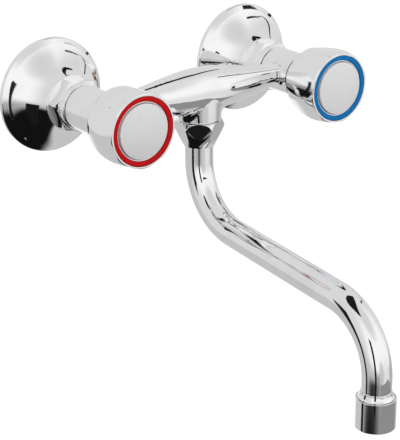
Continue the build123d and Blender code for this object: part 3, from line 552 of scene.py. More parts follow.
class Blank:
    """A mesh under construction, shaped with bmesh operators."""

    def __init__(self) -> None:
        """Starts empty."""
        self.mesh = bmesh.new()

    # Section lines

    def start(self, axis: TurningAxis, radius: float, place: float) -> bmesh.types.BMVert:
        """First point of a section line."""
        return self.mesh.verts.new(axis.at(radius, place))

    def line(
        self,
        last: bmesh.types.BMVert,
        axis: TurningAxis,
        *points: Point,
    ) -> bmesh.types.BMVert:
        """Straight runs of a section line.

        Args:
            last: point that the line has reached.
            axis: axis that the section belongs to.
            points: radius and place of each further point.

        Returns:
            The last point.
        """
        for radius, place in points:
            last = bmesh.ops.extrude_vert_indiv(self.mesh, verts=[last])["verts"][0]
            last.co = axis.at(radius, place)
        return last

    def arc(
        self,
        last: bmesh.types.BMVert,
        axis: TurningAxis,
        middle: Point,
        end: Point,
        steps: int,
    ) -> bmesh.types.BMVert:
        """Circular run of a section line through a middle point.

        Args:
            last: point that the line has reached.
            axis: axis that the section belongs to.
            middle: radius and place of a point on the arc.
            end: radius and place of the arc's end.
            steps: number of straight steps.

        Returns:
            The last point, exactly at the end of the arc.
        """
        begin = (axis.radius_of(last.co), axis.place_of(last.co))
        centre = circle_centre(begin, middle, end)
        turn = arc_angle(centre, begin, end)
        square = axis.outward.cross(axis.along)
        made = bmesh.ops.spin(
            self.mesh,
            geom=[last],
            cent=axis.at(*centre),
            axis=square,
            dvec=(0, 0, 0),
            angle=turn,
            steps=steps,
            use_duplicate=False,
        )
        last = next(item for item in made["geom_last"] if isinstance(item, bmesh.types.BMVert))
        last.co = axis.at(*end)
        return last

    def close(self, last: bmesh.types.BMVert, first: bmesh.types.BMVert) -> None:
        """Joins the ends of a section line."""
        self.mesh.edges.new((last, first))

    def round_corners(
        self,
        axis: TurningAxis,
        corners: Sequence[Corner],
        segments: int = 5,
    ) -> None:
        """Rounds corners of a section line.

        Args:
            axis: axis that the section belongs to.
            corners: corners, each at a point of the line.
            segments: number of steps of each rounding.
        """
        for corner in corners:
            point = axis.at(corner.radius, corner.place)
            found = [vert for vert in self.mesh.verts if (vert.co - point).length < SAME_PLACE]
            bmesh.ops.bevel(
                self.mesh,
                geom=found,
                offset=corner.setback * MM,
                offset_type="OFFSET",
                segments=segments,
                profile=0.5,
                affect="VERTICES",
                clamp_overlap=True,
                material=-1,
            )

    def turn(self, axis: TurningAxis, steps: int) -> None:
        """Turns the section line into a closed round shape.

        Args:
            axis: axis to turn about.
            steps: number of steps of the full turn.
        """
        on_axis = [
            edge
            for edge in self.mesh.edges
            if all(axis.radius_of(vert.co) < 1e-4 for vert in edge.verts)
        ]
        bmesh.ops.delete(self.mesh, geom=on_axis, context="EDGES")
        bmesh.ops.spin(
            self.mesh,
            geom=self.mesh.verts[:] + self.mesh.edges[:],
            cent=axis.origin * MM,
            axis=axis.along,
            dvec=(0, 0, 0),
            angle=2 * math.pi,
            steps=steps,
            use_merge=True,
            use_duplicate=False,
        )
        self.weld()

    def weld(self) -> None:
        """Merges doubles and turns all faces outwards."""
        bmesh.ops.remove_doubles(self.mesh, verts=self.mesh.verts, dist=SAME_PLACE)
        bmesh.ops.recalc_face_normals(self.mesh, faces=self.mesh.faces)

    def section(
        self,
        axis: TurningAxis,
        corners: Sequence[Corner],
        steps: int,
        segments: int = 5,
    ) -> None:
        """Turns a section of straight sides with rounded corners.

        Args:
            axis: axis to turn about.
            corners: corners of the closed section, in order.
            steps: number of steps of the full turn.
            segments: number of steps of each rounding.
        """
        first = self.start(axis, corners[0].radius, corners[0].place)
        points = [(corner.radius, corner.place) for corner in corners[1:]]
        self.close(self.line(first, axis, *points), first)
        self.round_corners(axis, [corner for corner in corners if corner.setback], segments)
        self.turn(axis, steps)

    # Cuts

    def cut_flat(self, point: Vector, normal: Vector) -> list[bmesh.types.BMEdge]:
        """Cuts off what lies beyond a plane and closes the cut.

        Args:
            point: point of the plane, in metres.
            normal: direction of what is cut off.

        Returns:
            Edges round the new face.
        """
        geometry = self.mesh.verts[:] + self.mesh.edges[:] + self.mesh.faces[:]
        made = bmesh.ops.bisect_plane(
            self.mesh,
            geom=geometry,
            dist=1e-8,
            plane_co=point,
            plane_no=normal,
            clear_outer=True,
            clear_inner=False,
        )
        rim = [item for item in made["geom_cut"] if isinstance(item, bmesh.types.BMEdge)]
        bmesh.ops.edgenet_fill(self.mesh, edges=rim)
        return rim

    def soften(self, edges: Sequence[bmesh.types.BMEdge], width: float, segments: int = 2) -> None:
        """Bevels edges.

        Args:
            edges: edges to bevel.
            width: width of the bevel, in millimetres.
            segments: number of steps across it.
        """
        bmesh.ops.bevel(
            self.mesh,
            geom=[edge for edge in edges if edge.is_valid],
            offset=width * MM,
            offset_type="OFFSET",
            segments=segments,
            profile=0.5,
            affect="EDGES",
            clamp_overlap=True,
            material=-1,
        )

    def join_rings(self, rings: Sequence[Sequence[bmesh.types.BMVert]]) -> None:
        """Skins a closed run of rings that have the same number of points.

        Args:
            rings: rings in order, the last one joined to the first.
        """
        for ring, following in zip(rings, list(rings[1:]) + [rings[0]]):
            for step, vert in enumerate(ring):
                after = (step + 1) % len(ring)
                self.mesh.faces.new((vert, ring[after], following[after], following[step]))
        bmesh.ops.recalc_face_normals(self.mesh, faces=self.mesh.faces)

    def absorb(self, other: "Blank") -> None:
        """Takes over another blank's shells.

        Args:
            other: blank that is used up.
        """
        carrier = bpy.data.meshes.new("carrier")
        other.mesh.to_mesh(carrier)
        other.mesh.free()
        self.mesh.from_mesh(carrier)
        bpy.data.meshes.remove(carrier)

    # Finished pieces

    def piece(self, name: str, finish: Finish, body: str, slot: str, *nodes: str) -> None:
        """Makes the finished object, at the origin, riding on its body.

        Args:
            name: name of the piece.
            finish: finish of its surface.
            body: body that it moves with.
            slot: not used; slot of the record that the finish stands for.
            nodes: nodes of the frame that it replaces.
        """
        for face in self.mesh.faces:
            face.smooth = True
        for edge in self.mesh.edges:
            edge.smooth = edge.calc_face_angle(0.0) < SHARP_ANGLE
        data = bpy.data.meshes.new(name)
        self.mesh.to_mesh(data)
        self.mesh.free()
        made = bpy.data.objects.new(name, data)
        bpy.context.scene.collection.objects.link(made)
        even = made.modifiers.new("even_shading", "WEIGHTED_NORMAL")
        even.keep_sharp = True
        even.weight = 50
        finish.dress(made)
        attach(made, body)
        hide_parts(*nodes)
        LOG.info("piece %s on %s: %d faces", name, body, len(data.polygons))


def circle_centre(first: Point, second: Point, third: Point) -> Point:
    """Centre of the circle through three points of a section."""
    (ax, ay), (bx, by), (cx, cy) = first, second, third
    scale = 2 * (ax * (by - cy) + bx * (cy - ay) + cx * (ay - by))
    a, b, c = ax * ax + ay * ay, bx * bx + by * by, cx * cx + cy * cy
    x = (a * (by - cy) + b * (cy - ay) + c * (ay - by)) / scale
    y = (a * (cx - bx) + b * (ax - cx) + c * (bx - ax)) / scale
    return x, y


def arc_angle(centre: Point, begin: Point, end: Point) -> float:
    """Angle from begin to end about a centre, the short way, in radians."""
    first = math.atan2(begin[1] - centre[1], begin[0] - centre[0])
    last = math.atan2(end[1] - centre[1], end[0] - centre[0])
    return (last - first + math.pi) % (2 * math.pi) - math.pi


def smooth_run(points: Sequence[Point], count: int) -> list[Point]:
    """Points of the smooth curve through given points.

    Args:
        points: points that the curve passes through.
        count: number of steps along the whole curve.

    Returns:
        The points after the first, evenly spaced in the curve's parameter.
    """
    knots = np.array(points, float)
    spans = np.linalg.norm(np.diff(knots, axis=0), axis=1)
    places = np.concatenate([[0.0], np.cumsum(spans)])
    size = len(knots)
    matrix = np.zeros((size, size))
    right = np.zeros((size, 2))
    matrix[0, 0] = matrix[-1, -1] = 1.0
    for index in range(1, size - 1):
        before, after = spans[index - 1], spans[index]
        matrix[index, index - 1 : index + 2] = before, 2 * (before + after), after
        rise = (knots[index + 1] - knots[index]) / after
        right[index] = 6 * (rise - (knots[index] - knots[index - 1]) / before)
    bends = np.linalg.solve(matrix, right)
    run = []
    for place in np.linspace(0, places[-1], count + 1)[1:]:
        index = min(int(np.searchsorted(places, place)) - 1, size - 2)
        span, past = spans[index], place - places[index]
        left = span - past
        value = (bends[index] * left**3 + bends[index + 1] * past**3) / (6 * span)
        value += (knots[index] / span - bends[index] * span / 6) * left
        value += (knots[index + 1] / span - bends[index + 1] * span / 6) * past
        run.append((float(value[0]), float(value[1])))
    return run


# Wall side

CREST_SHARE = 0.12
FLANK_SHARE = 0.76
RUN_OUT = 0.5
RINGS_A_PITCH = 12


@dataclass(frozen=True)
class ThreadSize:
    """Pipe thread on a plain cylinder.

    Args:
        crest: radius of the crests.
        root: radius of the roots.
        pitch: length of one turn.
        first: place where the thread starts.
        last: place where it ends.
    """

    crest: float
    root: float
    pitch: float
    first: float
    last: float

    def radius_at(self, place: float, turn: float) -> float:
        """Radius of the flank, crest or root at a place.

        Args:
            place: distance along the axis.
            turn: share of a full turn about the axis.

        Returns:
            The radius, in millimetres.
        """
        phase = abs((place / self.pitch - turn) % 1.0 - 0.5) * 2
        depth = min(max((phase - CREST_SHARE) / FLANK_SHARE, 0.0), 1.0)
        run_out = min(place - self.first, self.last - place) / (self.pitch * RUN_OUT)
        return self.crest - (self.crest - self.root) * depth * min(max(run_out, 0.0), 1.0)

    @property
    def places(self) -> list[float]:
        """Places along the thread, close enough together to draw its flanks."""
        length = self.last - self.first
        count = round(length / self.pitch * RINGS_A_PITCH)
        return [self.first + length * step / count for step in range(count + 1)]


@dataclass
class WallUnion:
    """Cover rose, union nut and eccentric union of one inlet."""

    side: Side
    rim_radius: float = 36.0
    rim_depth: float = 2.6
    lip: Point = (32.75, 5.0)
    waist: Point = (22.6, 13.2)
    nose: Point = (16.7, 22.8)
    rose_depth: float = 24.0
    rose_sheet: float = 1.0
    rose_bore: float = 13.35
    nut_flats: float = 30.0
    nut_corner_radius: float = 17.0
    nut_face_radius: float = 15.2
    nut_chamfer: float = 1.1
    nut_hex_end: float = 34.0
    nut_collar_radius: float = 14.9
    nut_end: float = 38.0
    nut_bore: float = 13.3
    nut_lip_bore: float = 12.1
    nut_lip_start: float = 35.5
    nut_flat_bevel: float = 0.18
    flange_radius: float = 17.3
    flange_end: float = 25.2
    flat_angles: dict[Side, float] = field(
        default_factory=lambda: {Side.HOT: 82.0, Side.COLD: 81.0}
    )
    stud_start: float = -14.0
    stud_end: float = 5.0
    stud_bore: float = 7.0
    stud_threads: ThreadSize = ThreadSize(10.4, 9.24, 1.814, -12.6, -0.6)
    neck_end: float = 17.0
    union_bore: float = 8.0
    union_end: float = 29.0
    union_threads: ThreadSize = ThreadSize(13.2, 12.04, 1.814, 18.2, 27.6)
    thread_steps: int = 96
    bell_steps: int = 28
    inner_bell_steps: int = 20

    def build(self) -> None:
        """Makes all three pieces."""
        self.make_rose()
        self.make_nut()
        self.make_union()

    def make_rose(self) -> None:
        """Trumpet-shaped rose, pressed from sheet with a rolled rim."""
        axis = valve_axis(self.side)
        sheet = self.rose_sheet
        blank = Blank()
        first = blank.start(axis, self.rim_radius, 0)
        last = blank.line(first, axis, (self.rim_radius, self.rim_depth), self.lip)
        last = blank.arc(last, axis, self.waist, self.nose, self.bell_steps)
        inner_nose = (self.nose[0] - sheet, self.nose[1] - sheet)
        shoulder = (self.nose[0] - self.rose_depth + self.nose[1], self.rose_depth)
        last = blank.line(
            last,
            axis,
            shoulder,
            (self.rose_bore, self.rose_depth),
            (self.rose_bore, self.rose_depth - sheet),
            inner_nose,
        )
        inner_waist = (self.waist[0] - sheet, self.waist[1] - sheet)
        inner_lip = (self.lip[0] - sheet, self.lip[1] - sheet)
        last = blank.arc(last, axis, inner_waist, inner_lip, self.inner_bell_steps)
        inner_rim = (self.rim_radius - sheet, self.rim_depth - sheet)
        last = blank.line(last, axis, inner_rim, (self.rim_radius - sheet, 0))
        blank.close(last, first)
        corners = [
            Corner(self.rim_radius, self.rim_depth, 0.9),
            Corner(*self.lip, 0.35),
            Corner(*self.nose, 0.5),
            Corner(*shoulder, 0.5),
            Corner(self.rim_radius, 0, 0.2),
        ]
        blank.round_corners(axis, corners)
        blank.turn(axis, FINE_STEPS)
        label = self.side.label
        blank.piece(f"rose_shell_{label}", CHROME, "tap_body", "chrome_plate", f"rose_{label}")

    def make_nut(self) -> None:
        """Chamfered hexagon with a round collar."""
        axis = valve_axis(self.side)
        start = self.flange_end
        chamfer = self.nut_chamfer
        blank = Blank()
        corners = [
            Corner(self.nut_bore, start),
            Corner(self.nut_corner_radius, start),
            Corner(self.nut_corner_radius, self.nut_hex_end - chamfer),
            Corner(self.nut_face_radius, self.nut_hex_end),
            Corner(self.nut_collar_radius, self.nut_hex_end),
            Corner(self.nut_collar_radius, self.nut_end, 0.5),
            Corner(self.nut_lip_bore, self.nut_end, 0.2),
            Corner(self.nut_lip_bore, self.nut_lip_start),
            Corner(self.nut_bore, self.nut_lip_start),
        ]
        blank.section(axis, corners, FINE_STEPS)
        rims = []
        for count in range(6):
            angle = math.radians(self.flat_angles[self.side] + 60 * count)
            normal = Vector((math.cos(angle), 0, math.sin(angle)))
            point = (axis.origin + normal * (self.nut_flats / 2)) * MM
            rims += blank.cut_flat(point, normal)
        blank.soften(rims, self.nut_flat_bevel)
        blank.weld()
        flange = Blank()
        corners = [
            Corner(self.nut_bore, self.rose_depth),
            Corner(self.flange_radius, self.rose_depth, 0.3),
            Corner(self.flange_radius, self.flange_end, 0.3),
            Corner(self.nut_bore, self.flange_end),
        ]
        flange.section(axis, corners, FINE_STEPS, 3)
        blank.absorb(flange)
        label = self.side.label
        name = f"union_hexagon_{label}"
        blank.piece(name, CHROME, "tap_body", "chrome_plate", f"union_nut_{label}")

    def make_union(self) -> None:
        """Eccentric union with a pipe thread on both ends."""
        turns = [step / self.thread_steps for step in range(self.thread_steps)]
        ends = [self.stud_start, self.stud_end, self.neck_end, self.union_end]
        outside = sorted(ends + self.stud_threads.places + self.union_threads.places)
        inside = [
            (self.union_bore, self.union_end),
            (self.union_bore, self.neck_end),
            (self.stud_bore, self.stud_end),
            (self.stud_bore, self.stud_start),
        ]
        sections = [(place, [self.outer_radius(place, turn) for turn in turns]) for place in outside]
        sections += [(place, [radius] * self.thread_steps) for radius, place in inside]
        blank = Blank()
        blank.join_rings([self.union_ring(blank, place, radii) for place, radii in sections])
        label = self.side.label
        name = f"threaded_union_{label}"
        blank.piece(name, BRASS, "tap_body", "raw_brass", f"eccentric_union_{label}")

    def union_ring(
        self,
        blank: Blank,
        place: float,
        radii: Sequence[float],
    ) -> list[bmesh.types.BMVert]:
        """Ring of points about the union's middle line, which shifts along the neck.

        Args:
            blank: mesh of the union.
            place: distance from the wall.
            radii: radius of each point, evenly spaced round the ring.

        Returns:
            The points.
        """
        axis = valve_axis(self.side)
        share = min(max((self.neck_end - place) / (self.neck_end - self.stud_end), 0.0), 1.0)
        middle = axis.origin - Vector((0, 0, VALVE_HEIGHT)) * share + axis.along * place
        ring = []
        for step, radius in enumerate(radii):
            angle = 2 * math.pi * step / len(radii)
            out = Vector((math.cos(angle), 0, math.sin(angle))) * radius
            ring.append(blank.mesh.verts.new((middle + out) * MM))
        return ring

    def outer_radius(self, place: float, turn: float) -> float:
        """Outer radius at a place along the union.

        Args:
            place: distance from the wall.
            turn: share of a full turn about the axis.

        Returns:
            The radius, in millimetres.
        """
        if place <= self.stud_end:
            return self.stud_threads.radius_at(place, turn)
        if place < self.neck_end:
            share = (place - self.stud_end) / (self.neck_end - self.stud_end)
            thickening = self.union_threads.crest - self.stud_threads.crest
            return self.stud_threads.crest + share * thickening
        return self.union_threads.radius_at(place, turn)


# Handles

@dataclass
class Handle:
    """Knob with finger facets, index ring and cap of one valve."""

    side: Side
    back: float = 64.8
    front: float = 100.2
    back_radius: float = 14.1
    shell: tuple[Point, ...] = (
        (16.3, 68.0),
        (20.1, 72.0),
        (22.3, 77.3),
        (23.7, 86.4),
        (23.85, 91.4),
    )
    front_radius: float = 22.5
    lip_round: float = 0.8
    mouth_radius: float = 12.8
    cavity: tuple[Point, ...] = ((14.3, 68.4), (18.4, 74.0), (20.2, 81.0), (20.2, 87.9))
    hub_radius: float = 7.5
    hub_start: float = 81.6
    web_start: float = 87.9
    web_end: float = 91.4
    spline_bore: float = 4.0
    spline_end: float = 89.6
    screw_bore: float = 2.3
    ring_seat: float = 97.7
    ring_bore: float = 20.9
    land_radius: float = 17.75
    land_place: float = 99.4
    cap_bore: float = 16.75
    facet_count: int = 8
    facet_angles: dict[Side, float] = field(
        default_factory=lambda: {Side.HOT: 158.0, Side.COLD: 172.0}
    )
    facet_back: Point = (20.3, 72.0)
    facet_middle: Point = (22.3, 87.0)
    facet_front: Point = (21.7, 100.2)
    facet_edge: float = 0.12
    ring_outer: float = 20.8
    ring_inner: float = 17.8
    cap_radius: float = 16.6
    cap_edge_round: float = 0.5
    cap_edge_place: float = 100.7
    cap_crown: float = 1.0
    cap_wall: float = 1.4
    ring_round: float = 0.7
    seat_round: float = 0.15
    land_round: float = 0.2
    land_bore_round: float = 0.6
    steps: int = 432
    shell_steps: int = 110
    edge_steps: int = 8
    dome_steps: int = 24

    def build(self) -> None:
        """Makes the three visible pieces."""
        self.make_knob()
        self.make_ring()
        self.make_cap()

    @property
    def body(self) -> str:
        """Body that the handle's pieces ride on."""
        return f"{self.side.label}_handle"

    def make_knob(self) -> None:
        """Hollow knob, turned and then given its facets."""
        axis = valve_axis(self.side)
        blank = Blank()
        first = blank.start(axis, self.back_radius, self.back)
        lip = (self.front_radius, self.front - self.lip_round)
        knots = [(self.back_radius, self.back), *self.shell, lip]
        last = blank.line(first, axis, *smooth_run(knots, self.shell_steps))
        turn = self.lip_round * (1 - math.sqrt(0.5))
        edge = (self.front_radius - self.lip_round, self.front)
        bulge = (self.front_radius - turn, self.front - turn)
        last = blank.arc(last, axis, bulge, edge, self.edge_steps)
        last = blank.line(
            last,
            axis,
            (self.ring_bore, self.front),
            (self.ring_bore, self.ring_seat),
            (self.land_radius, self.ring_seat),
            (self.land_radius, self.land_place),
            (self.cap_bore, self.land_place),
            (self.cap_bore, self.web_end),
            (self.screw_bore, self.web_end),
            (self.screw_bore, self.spline_end),
            (self.spline_bore, self.spline_end),
            (self.spline_bore, self.hub_start),
            (self.hub_radius, self.hub_start),
            (self.hub_radius, self.web_start),
            *reversed(self.cavity),
            (self.mouth_radius, self.back),
        )
        blank.close(last, first)
        corners = [
            Corner(self.ring_bore, self.front, self.seat_round),
            Corner(self.land_radius, self.land_place, self.land_round),
            Corner(self.cap_bore, self.land_place, self.land_bore_round),
        ]
        blank.round_corners(axis, corners, 3)
        blank.turn(axis, self.steps)
        self.press_facets(blank, axis)
        label = self.side.label
        blank.piece(f"knob_{label}", CHROME, self.body, "chrome_plate", f"handle_{label}")

    def press_facets(self, blank: Blank, axis: TurningAxis) -> None:
        """Moves the shell in to its facets, with edges rounded a little.

        Args:
            blank: the turned knob.
            axis: axis of the valve.
        """
        centre = circle_centre(self.facet_back, self.facet_middle, self.facet_front)
        bow = math.dist(centre, self.facet_middle)
        pitch = 2 * math.pi / self.facet_count
        start = math.radians(self.facet_angles[self.side])
        for vert in blank.mesh.verts:
            offset = axis.offset_of(vert.co)
            radius = offset.length
            place = axis.place_of(vert.co)
            if radius < self.ring_bore - 1 or place > self.front - 0.05:
                continue
            angle = math.atan2(offset.z, offset.x) - start
            across = (angle + pitch / 2) % pitch - pitch / 2
            depth = centre[0] + math.sqrt(bow**2 - (place - centre[1]) ** 2)
            flat = depth / math.cos(across)
            pressed = (radius + flat - math.hypot(radius - flat, self.facet_edge)) / 2
            vert.co += offset * ((pressed / radius - 1) * MM)

    def make_ring(self) -> None:
        """Coloured index ring with rounded front edges."""
        axis = valve_axis(self.side)
        blank = Blank()
        corners = [
            Corner(self.ring_inner, self.ring_seat),
            Corner(self.ring_outer, self.ring_seat),
            Corner(self.ring_outer, self.front, self.ring_round),
            Corner(self.ring_inner, self.front, self.ring_round),
        ]
        blank.section(axis, corners, FINE_STEPS, 6)
        label = self.side.label
        enamel = RED if self.side is Side.HOT else BLUE
        blank.piece(f"index_band_{label}", enamel, self.body, enamel.label, f"index_ring_{label}")

    def make_cap(self) -> None:
        """Domed cap."""
        axis = valve_axis(self.side)
        inner = self.cap_radius - self.cap_wall
        edge = (self.cap_radius - self.cap_edge_round, self.cap_edge_place)
        crown = (0.0, self.cap_edge_place + self.cap_crown)
        rise = self.cap_crown
        dome_radius = (edge[0] ** 2 + rise**2) / (2 * rise)
        half = edge[0] / 2
        middle = (half, crown[1] - dome_radius + math.sqrt(dome_radius**2 - half**2))
        blank = Blank()
        first = blank.start(axis, self.cap_radius, self.web_end)
        rim = (self.cap_radius, self.cap_edge_place - self.cap_edge_round)
        last = blank.line(first, axis, rim)
        turn = self.cap_edge_round * (1 - math.sqrt(0.5))
        last = blank.arc(last, axis, (rim[0] - turn, edge[1] - turn), edge, self.edge_steps)
        last = blank.arc(last, axis, middle, crown, self.dome_steps)
        under = self.cap_edge_place - self.cap_wall
        last = blank.line(last, axis, (0.0, under), (inner, under), (inner, self.web_end))
        blank.close(last, first)
        blank.turn(axis, FINE_STEPS)
        label = self.side.label
        blank.piece(f"cap_{label}", SATIN[self.side], self.body, "satin_cap", f"handle_cap_{label}")


# Swivel and spout

@dataclass
class SwivelNut:
    """Conical nut under the outlet, with lens-shaped flats."""

    top: Point = (13.8, 16.9)
    widest: Point = (15.9, 20.9)
    end: Point = (9.9, 33.7)
    thread_bore: float = 12.1
    ledge_bore: float = 11.6
    tube_bore: float = 9.3
    shoulder: float = 21.2
    ledge: float = 26.4
    flats: float = 28.0
    flat_angle: float = 232.8
    flat_bevel: float = 0.12
    end_round: float = 0.25
    widest_round: float = 0.4
    bulge_steps: int = 10

    def build(self) -> None:
        """Makes the nut."""
        axis = drop_axis()
        blank = Blank()
        first = blank.start(axis, *self.top)
        rise = self.widest[1] - self.top[1]
        run = self.widest[0] - self.top[0]
        bulge = (rise**2 + run**2) / (2 * run)
        centre = self.widest[0] - bulge
        half = math.asin(rise / bulge) / 2
        middle = (centre + bulge * math.cos(half), self.widest[1] - bulge * math.sin(half))
        last = blank.arc(first, axis, middle, self.widest, self.bulge_steps)
        last = blank.line(
            last,
            axis,
            self.end,
            (self.tube_bore, self.end[1]),
            (self.tube_bore, self.ledge),
            (self.ledge_bore, self.ledge),
            (self.ledge_bore, self.shoulder),
            (self.thread_bore, self.shoulder),
            (self.thread_bore, self.top[1]),
        )
        blank.close(last, first)
        corners = [Corner(*self.end, self.end_round), Corner(*self.widest, self.widest_round)]
        blank.round_corners(axis, corners, 4)
        blank.turn(axis, FINE_STEPS)
        rims = []
        for count in range(6):
            angle = math.radians(self.flat_angle + 60 * count)
            normal = Vector((math.cos(angle), math.sin(angle), 0))
            point = (axis.origin + normal * (self.flats / 2)) * MM
            rims += blank.cut_flat(point, normal)
        blank.soften(rims, self.flat_bevel)
        blank.weld()
        blank.piece("swivel_cone", CHROME, "tap_body", "chrome_plate", "swivel_nut")


@dataclass
class Spout:
    """Bent tube, its flared end and the aerator."""

    tube_radius: float = 9.0
    tube_wall: float = 1.0
    top_drop: float = 21.8
    first_corner: float = 79.24
    second_corner: float = 96.24
    end_drop: float = 144.68
    bend_radius: float = 40.0
    around: int = 96
    bend_steps: int = 56
    flare_top: Point = (9.5, 139.18)
    flare_end: Point = (10.9, 142.78)
    thread_end: float = 150.78
    bush_bore: float = 7.8
    aerator_bore: float = 11.0
    aerator_radius: float = 12.0
    aerator_top: float = 143.08
    aerator_mouth_radius: float = 11.4
    aerator_mouth: float = 144.28
    aerator_end: float = 161.78
    aerator_lip: float = 159.78
    aerator_lip_bore: float = 9.5
    screen_radius: float = 10.8
    screen_rim: float = 8.9
    screen_top: float = 159.28
    screen_end: float = 159.78
    wire_radius: float = 0.12
    wire_pitch: float = 0.6
    wire_overlap: float = 0.5
    wire_sides: int = 4
    wave_steps: int = 4
    run_step: float = 6.0
    flare_round: float = 0.3
    flare_steps: int = 10

    def build(self) -> None:
        """Makes the visible pieces of the spout."""
        self.make_tube()
        self.make_end_bush()
        self.make_aerator()
        self.make_screen()

    def make_tube(self) -> None:
        """Tube swept along its two bends."""
        fall = self.second_corner - self.first_corner
        slope = math.atan2(fall, SPOUT_REACH)
        turn = math.pi / 2 - slope
        tangent = self.bend_radius * math.tan(turn / 2)
        start = drop_axis().at(0, self.top_drop)
        down = Vector((0, 0, -1))
        along = Vector((0, -math.cos(slope), -math.sin(slope)))
        run = math.hypot(fall, SPOUT_REACH) - 2 * tangent
        blank = Blank()
        for radius in (self.tube_radius, self.tube_radius - self.tube_wall):
            made = bmesh.ops.create_circle(
                blank.mesh,
                segments=self.around,
                radius=radius * MM,
                matrix=Matrix.Translation(start),
            )
            ring = made["verts"]
            edges = list({edge for vert in ring for edge in vert.link_edges})
            edges = self.pull(blank, edges, down, self.first_corner - self.top_drop - tangent)
            centre = Vector((0, -BAR_DISTANCE - self.bend_radius, 0))
            centre.z = VALVE_HEIGHT - self.first_corner + tangent
            edges = self.bend(blank, edges, centre, -turn)
            edges = self.pull(blank, edges, along, run)
            centre = Vector((0, -BAR_DISTANCE - SPOUT_REACH + self.bend_radius, 0))
            centre.z = VALVE_HEIGHT - self.second_corner - tangent
            edges = self.bend(blank, edges, centre, turn)
            self.pull(blank, edges, down, self.end_drop - self.second_corner - tangent)
        open_edges = [edge for edge in blank.mesh.edges if edge.is_boundary]
        for drop in (self.top_drop, self.end_drop):
            height = (VALVE_HEIGHT - drop) * MM
            rim = [edge for edge in open_edges if abs(edge.verts[0].co.z - height) < 1e-6]
            bmesh.ops.bridge_loops(blank.mesh, edges=rim)
        blank.weld()
        blank.piece("tube_run", CHROME, "spout", "chrome_plate", "spout_tube")

    def pull(
        self,
        blank: Blank,
        edges: Sequence[bmesh.types.BMEdge],
        direction: Vector,
        length: float,
    ) -> list[bmesh.types.BMEdge]:
        """Extrudes a ring of edges straight, in short steps.

        Args:
            blank: mesh of the tube.
            edges: ring that the tube has reached.
            direction: unit direction of the run.
            length: length of the run, in millimetres.

        Returns:
            The ring at the end of the run.
        """
        steps = max(2, round(length / self.run_step))
        for _ in range(steps):
            made = bmesh.ops.extrude_edge_only(blank.mesh, edges=edges)["geom"]
            verts = [item for item in made if isinstance(item, bmesh.types.BMVert)]
            edges = [item for item in made if isinstance(item, bmesh.types.BMEdge)]
            bmesh.ops.translate(blank.mesh, verts=verts, vec=direction * (length / steps * MM))
        return edges

    def bend(
        self,
        blank: Blank,
        edges: Sequence[bmesh.types.BMEdge],
        centre: Vector,
        turn: float,
    ) -> list[bmesh.types.BMEdge]:
        """Spins a ring of edges about the centre of a bend.

        Args:
            blank: mesh of the tube.
            edges: ring that the tube has reached.
            centre: centre of the bend, in millimetres.
            turn: angle of the bend about the X axis, in radians.

        Returns:
            The ring at the end of the bend.
        """
        made = bmesh.ops.spin(
            blank.mesh,
            geom=list(edges),
            cent=centre * MM,
            axis=(1, 0, 0),
            dvec=(0, 0, 0),
            angle=turn,
            steps=self.bend_steps,
            use_duplicate=False,
        )
        return [item for item in made["geom_last"] if isinstance(item, bmesh.types.BMEdge)]

    def make_end_bush(self) -> None:
        """Flared end of the spout."""
        axis = drop_axis(SPOUT_REACH)
        rise = self.flare_end[1] - self.flare_top[1]
        run = self.flare_end[0] - self.flare_top[0]
        sweep = (rise**2 + run**2) / (2 * run)
        half = math.asin(rise / sweep) / 2
        middle = (
            self.flare_top[0] + sweep * (1 - math.cos(half)),
            self.flare_top[1] + sweep * math.sin(half),
        )
        blank = Blank()
        first = blank.start(axis, *self.flare_top)
        last = blank.arc(first, axis, middle, self.flare_end, self.flare_steps)
        last = blank.line(
            last,
            axis,
            (self.flare_end[0], self.thread_end),
            (self.bush_bore, self.thread_end),
            (self.bush_bore, self.end_drop),
            (self.tube_radius, self.end_drop),
            (self.tube_radius, self.flare_top[1]),
        )
        blank.close(last, first)
        blank.round_corners(axis, [Corner(*self.flare_end, self.flare_round)], 3)
        blank.turn(axis, FINE_STEPS)
        blank.piece("spout_flare", CHROME, "spout", "chrome_plate", "spout_end_bush")

    def make_aerator(self) -> None:
        """Housing of the aerator, with rounded rims."""
        axis = drop_axis(SPOUT_REACH)
        corners = [
            Corner(self.aerator_bore, self.aerator_mouth),
            Corner(self.aerator_mouth_radius, self.aerator_mouth),
            Corner(self.aerator_mouth_radius, self.aerator_top, 0.15),
            Corner(self.aerator_radius, self.aerator_top, 0.3),
            Corner(self.aerator_radius, self.aerator_end, 0.5),
            Corner(self.aerator_lip_bore, self.aerator_end, 0.4),
            Corner(self.aerator_lip_bore, self.aerator_lip),
            Corner(self.aerator_bore, self.aerator_lip),
        ]
        blank = Blank()
        blank.section(axis, corners, FINE_STEPS)
        blank.piece("aerator_sleeve", CHROME, "spout", "chrome_plate", "aerator_housing")

    def make_screen(self) -> None:
        """Woven wire screen held in a flat ring."""
        axis = drop_axis(SPOUT_REACH)
        rim = [
            Corner(self.screen_rim, self.screen_top),
            Corner(self.screen_radius, self.screen_top),
            Corner(self.screen_radius, self.screen_end),
            Corner(self.screen_rim, self.screen_end),
        ]
        blank = Blank()
        blank.section(axis, rim, self.around)
        count = int(self.screen_rim / self.wire_pitch)
        for number in range(-count, count + 1):
            for crossing in (False, True):
                self.lay_wire(blank, number, crossing)
        blank.piece("woven_screen", WIRE, "spout", "screen_steel", "aerator_screen")

